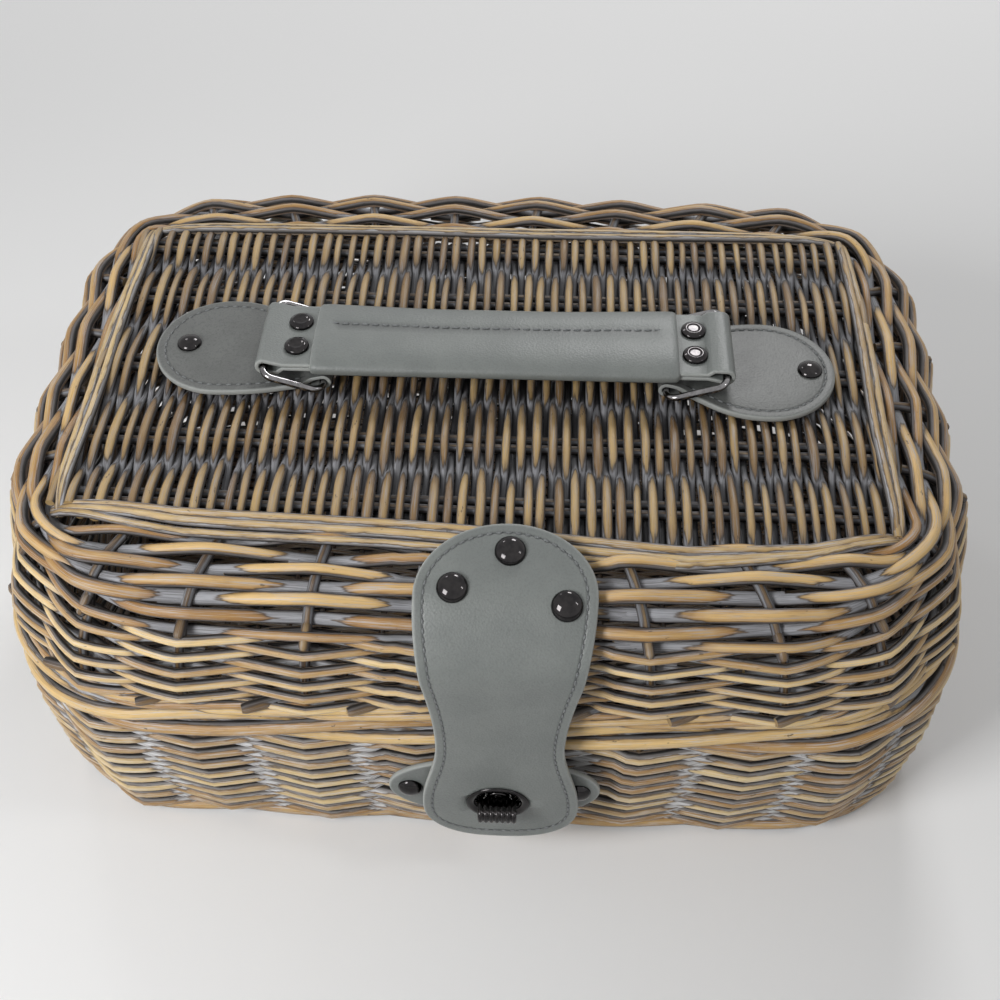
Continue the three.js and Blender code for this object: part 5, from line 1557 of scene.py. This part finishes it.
# %% Twist lock
PLATE_PROFILE = [(2.85, 0), (16.2, 0), (16.9, 0.3), (17, 0.8), (16.7, 1.3), (16, 1.65), (14.6, 1.7), (6.2, 1.7),
                 (5.4, 1.9), (5, 2.4), (4.9, 4.2), (4.6, 4.6), (4.1, 4.7), (2.85, 4.7), (2.85, 0)]
EYELET_PROFILE = [(9.5, -1.95), (11.6, -1.9), (12.2, -1.7), (12.2, -1.5), (10.5, -1.45), (10.5, 1.45),
                  (12.6, 1.5), (13, 1.65), (12.95, 2.0), (12.5, 2.3), (11.6, 2.45), (10.6, 2.3), (9.9, 1.9),
                  (9.55, 1.2), (9.5, 0), (9.5, -1.95)]
KNOB_HALF, KNOB_RIBS, KNOB_SIDES, KNOB_Y = 8.0, 7, 28, -153.6
SHAFT_RADIUS, SHAFT_LONG, SHAFT_FRONT_Y = 2.6, 7.6, -152.0


def oval_turned(name, profile, y, squeeze, body, replaces, round_within=0.0):
    """A profile of (radius, height off the wall) turned about the lock's axis and squeezed to an oval."""
    points, faces = turned(profile, 72)
    points[:, 1] *= np.where(np.hypot(points[:, 0], points[:, 1]) > round_within, squeeze, 1.0)
    seat(mesh_piece(name, on_lock(points, y), faces, dark_nickel, merge=0.001), body, replaces)


oval_turned("lock_base", PLATE_PROFILE, PATCH_FACE_Y - 0.3, 13 / 17, "root", ["lock_plate"], round_within=6)
oval_turned("eyelet_ring", EYELET_PROFILE, FLAP_MIDDLE_Y, EYELET[1] / EYELET[0], "flap", ["flap_eyelet"])


def knob_mesh():
    """A bar with rounded ribs that wrap over it, closed at both ends, and the shaft behind it."""
    x = np.linspace(-KNOB_HALF, KNOB_HALF, KNOB_RIBS * 10 + 1)
    rib = np.abs(np.sin(math.pi * KNOB_RIBS * (x + KNOB_HALF) / (2 * KNOB_HALF))) ** 0.6
    rib[[0, -1]] = 0
    z, deep = (fuller(wave(round_angles(KNOB_SIDES)), 0.6) for wave in (np.cos, np.sin))
    rings = [np.column_stack([np.full(KNOB_SIDES, at), 5.0 * deep * (0.84 + 0.16 * r), 4.0 * z * (0.86 + 0.14 * r)])
             for at, r in zip(x, rib)]
    rings = [rings[0] * (1, 0, 0)] + rings + [rings[-1] * (1, 0, 0)]
    bar = np.concatenate(rings) + (LOCK_X, KNOB_Y, LOCK_Z)
    shaft, shaft_faces = turned([(0, 0), (SHAFT_RADIUS, 0), (SHAFT_RADIUS, -SHAFT_LONG), (0, -SHAFT_LONG)], 32)
    faces = ring_faces(len(rings), KNOB_SIDES) + [tuple(len(bar) + k for k in face) for face in shaft_faces]
    return mesh_piece("ribbed_knob", np.concatenate([bar, on_lock(shaft, SHAFT_FRONT_Y)]), faces, dark_nickel,
                      merge=0.001)


seat(knob_mesh(), "knob", ["turn_knob"])

# %% [markdown]
# The basket stands on a plain pale floor that fades to white in the distance. The fade is a glow that only the
# camera sees, so it gives the object no light.

# %% Floor
WHITE = (1, 1, 1, 1)

bpy.context.scene.view_settings.view_transform = "Standard"
floor_mesh = bpy.data.meshes.new("floor")
floor_mesh.from_pydata([(-4, -4, 0), (4, -4, 0), (4, 4, 0), (-4, 4, 0)], [], [(0, 1, 2, 3)])
floor_white, floor_recipe, floor_shader = new_material("floor_white")
floor_shader["Base Color"].default_value = (0.86, 0.86, 0.86, 1)
floor_shader["Roughness"].default_value = 0.9
floor_shader["Emission Color"].default_value = WHITE
far = floor_recipe.ramp(floor_recipe.vector("LENGTH", floor_recipe.on_object()), 0.5, 2.2, 0.0, 0.72)
glow = far * floor_recipe.add("ShaderNodeLightPath", output="Is Camera Ray")
floor_recipe.put(glow, floor_shader["Emission Strength"])
floor_mesh.materials.append(floor_white)
placed("floor", floor_mesh)

# %% [markdown]
# The backdrop is white to the camera and to polished metal, which mirrors it, and dim to everything else.
# So the picture's ground is clean, while the lamps shape the basket.

# %% Backdrop
AMBIENT = 0.22

world = bpy.data.worlds.new("studio")
bpy.context.scene.world = world
world.use_nodes = True
world.node_tree.nodes.clear()
studio = Recipe(world.node_tree)
camera_ray, glossy_ray, clear_ray = studio.pick(studio.node("ShaderNodeLightPath"), "Is Camera Ray",
                                                "Is Glossy Ray", "Is Transmission Ray")
seen = studio.calc("MAXIMUM", camera_ray, studio.calc("MAXIMUM", glossy_ray, clear_ray))
dim, bright = (studio.add("ShaderNodeBackground", {0: WHITE, 1: strength}) for strength in (AMBIENT, 1.0))
studio.node("ShaderNodeOutputWorld", {0: studio.add("ShaderNodeMixShader", {0: seen, 1: dim, 2: bright})})

print("backdrop has", len(world.node_tree.nodes), "nodes")

# %% [markdown]
# The light is soft, as in a studio: a strong lamp from the front left, a weak one from the right, and two
# from behind and above that light the lid and give the metal its glints.

# %% Lamps
LAMPS = {"key": ((-0.52, -0.6, 0.66), (-0.06, 0, 0.1), 0.32, 0.36, 6.6),
         "fill": ((0.95, -0.3, 1.0), (0, 0, 0.1), 0.14, 0.32, 1.5),
         "spot": ((-0.62, 0.85, 1.1), (0, 0, 0.15), 0.17, 0.15, 0.9),
         "window": ((0.28, 1.1, 1.15), (0, 0, 0.15), 0.35, 0.3, 7)}

for name, (place, target, width, height, watts) in LAMPS.items():
    lamp = bpy.data.lights.new(name, "AREA")
    lamp.shape, lamp.size, lamp.size_y, lamp.energy = "RECTANGLE", width, height, watts
    aim = (Vector(target) - Vector(place)).to_track_quat("-Z", "Y")
    placed(name, lamp).matrix_world = Matrix.Translation(place) @ aim.to_matrix().to_4x4()
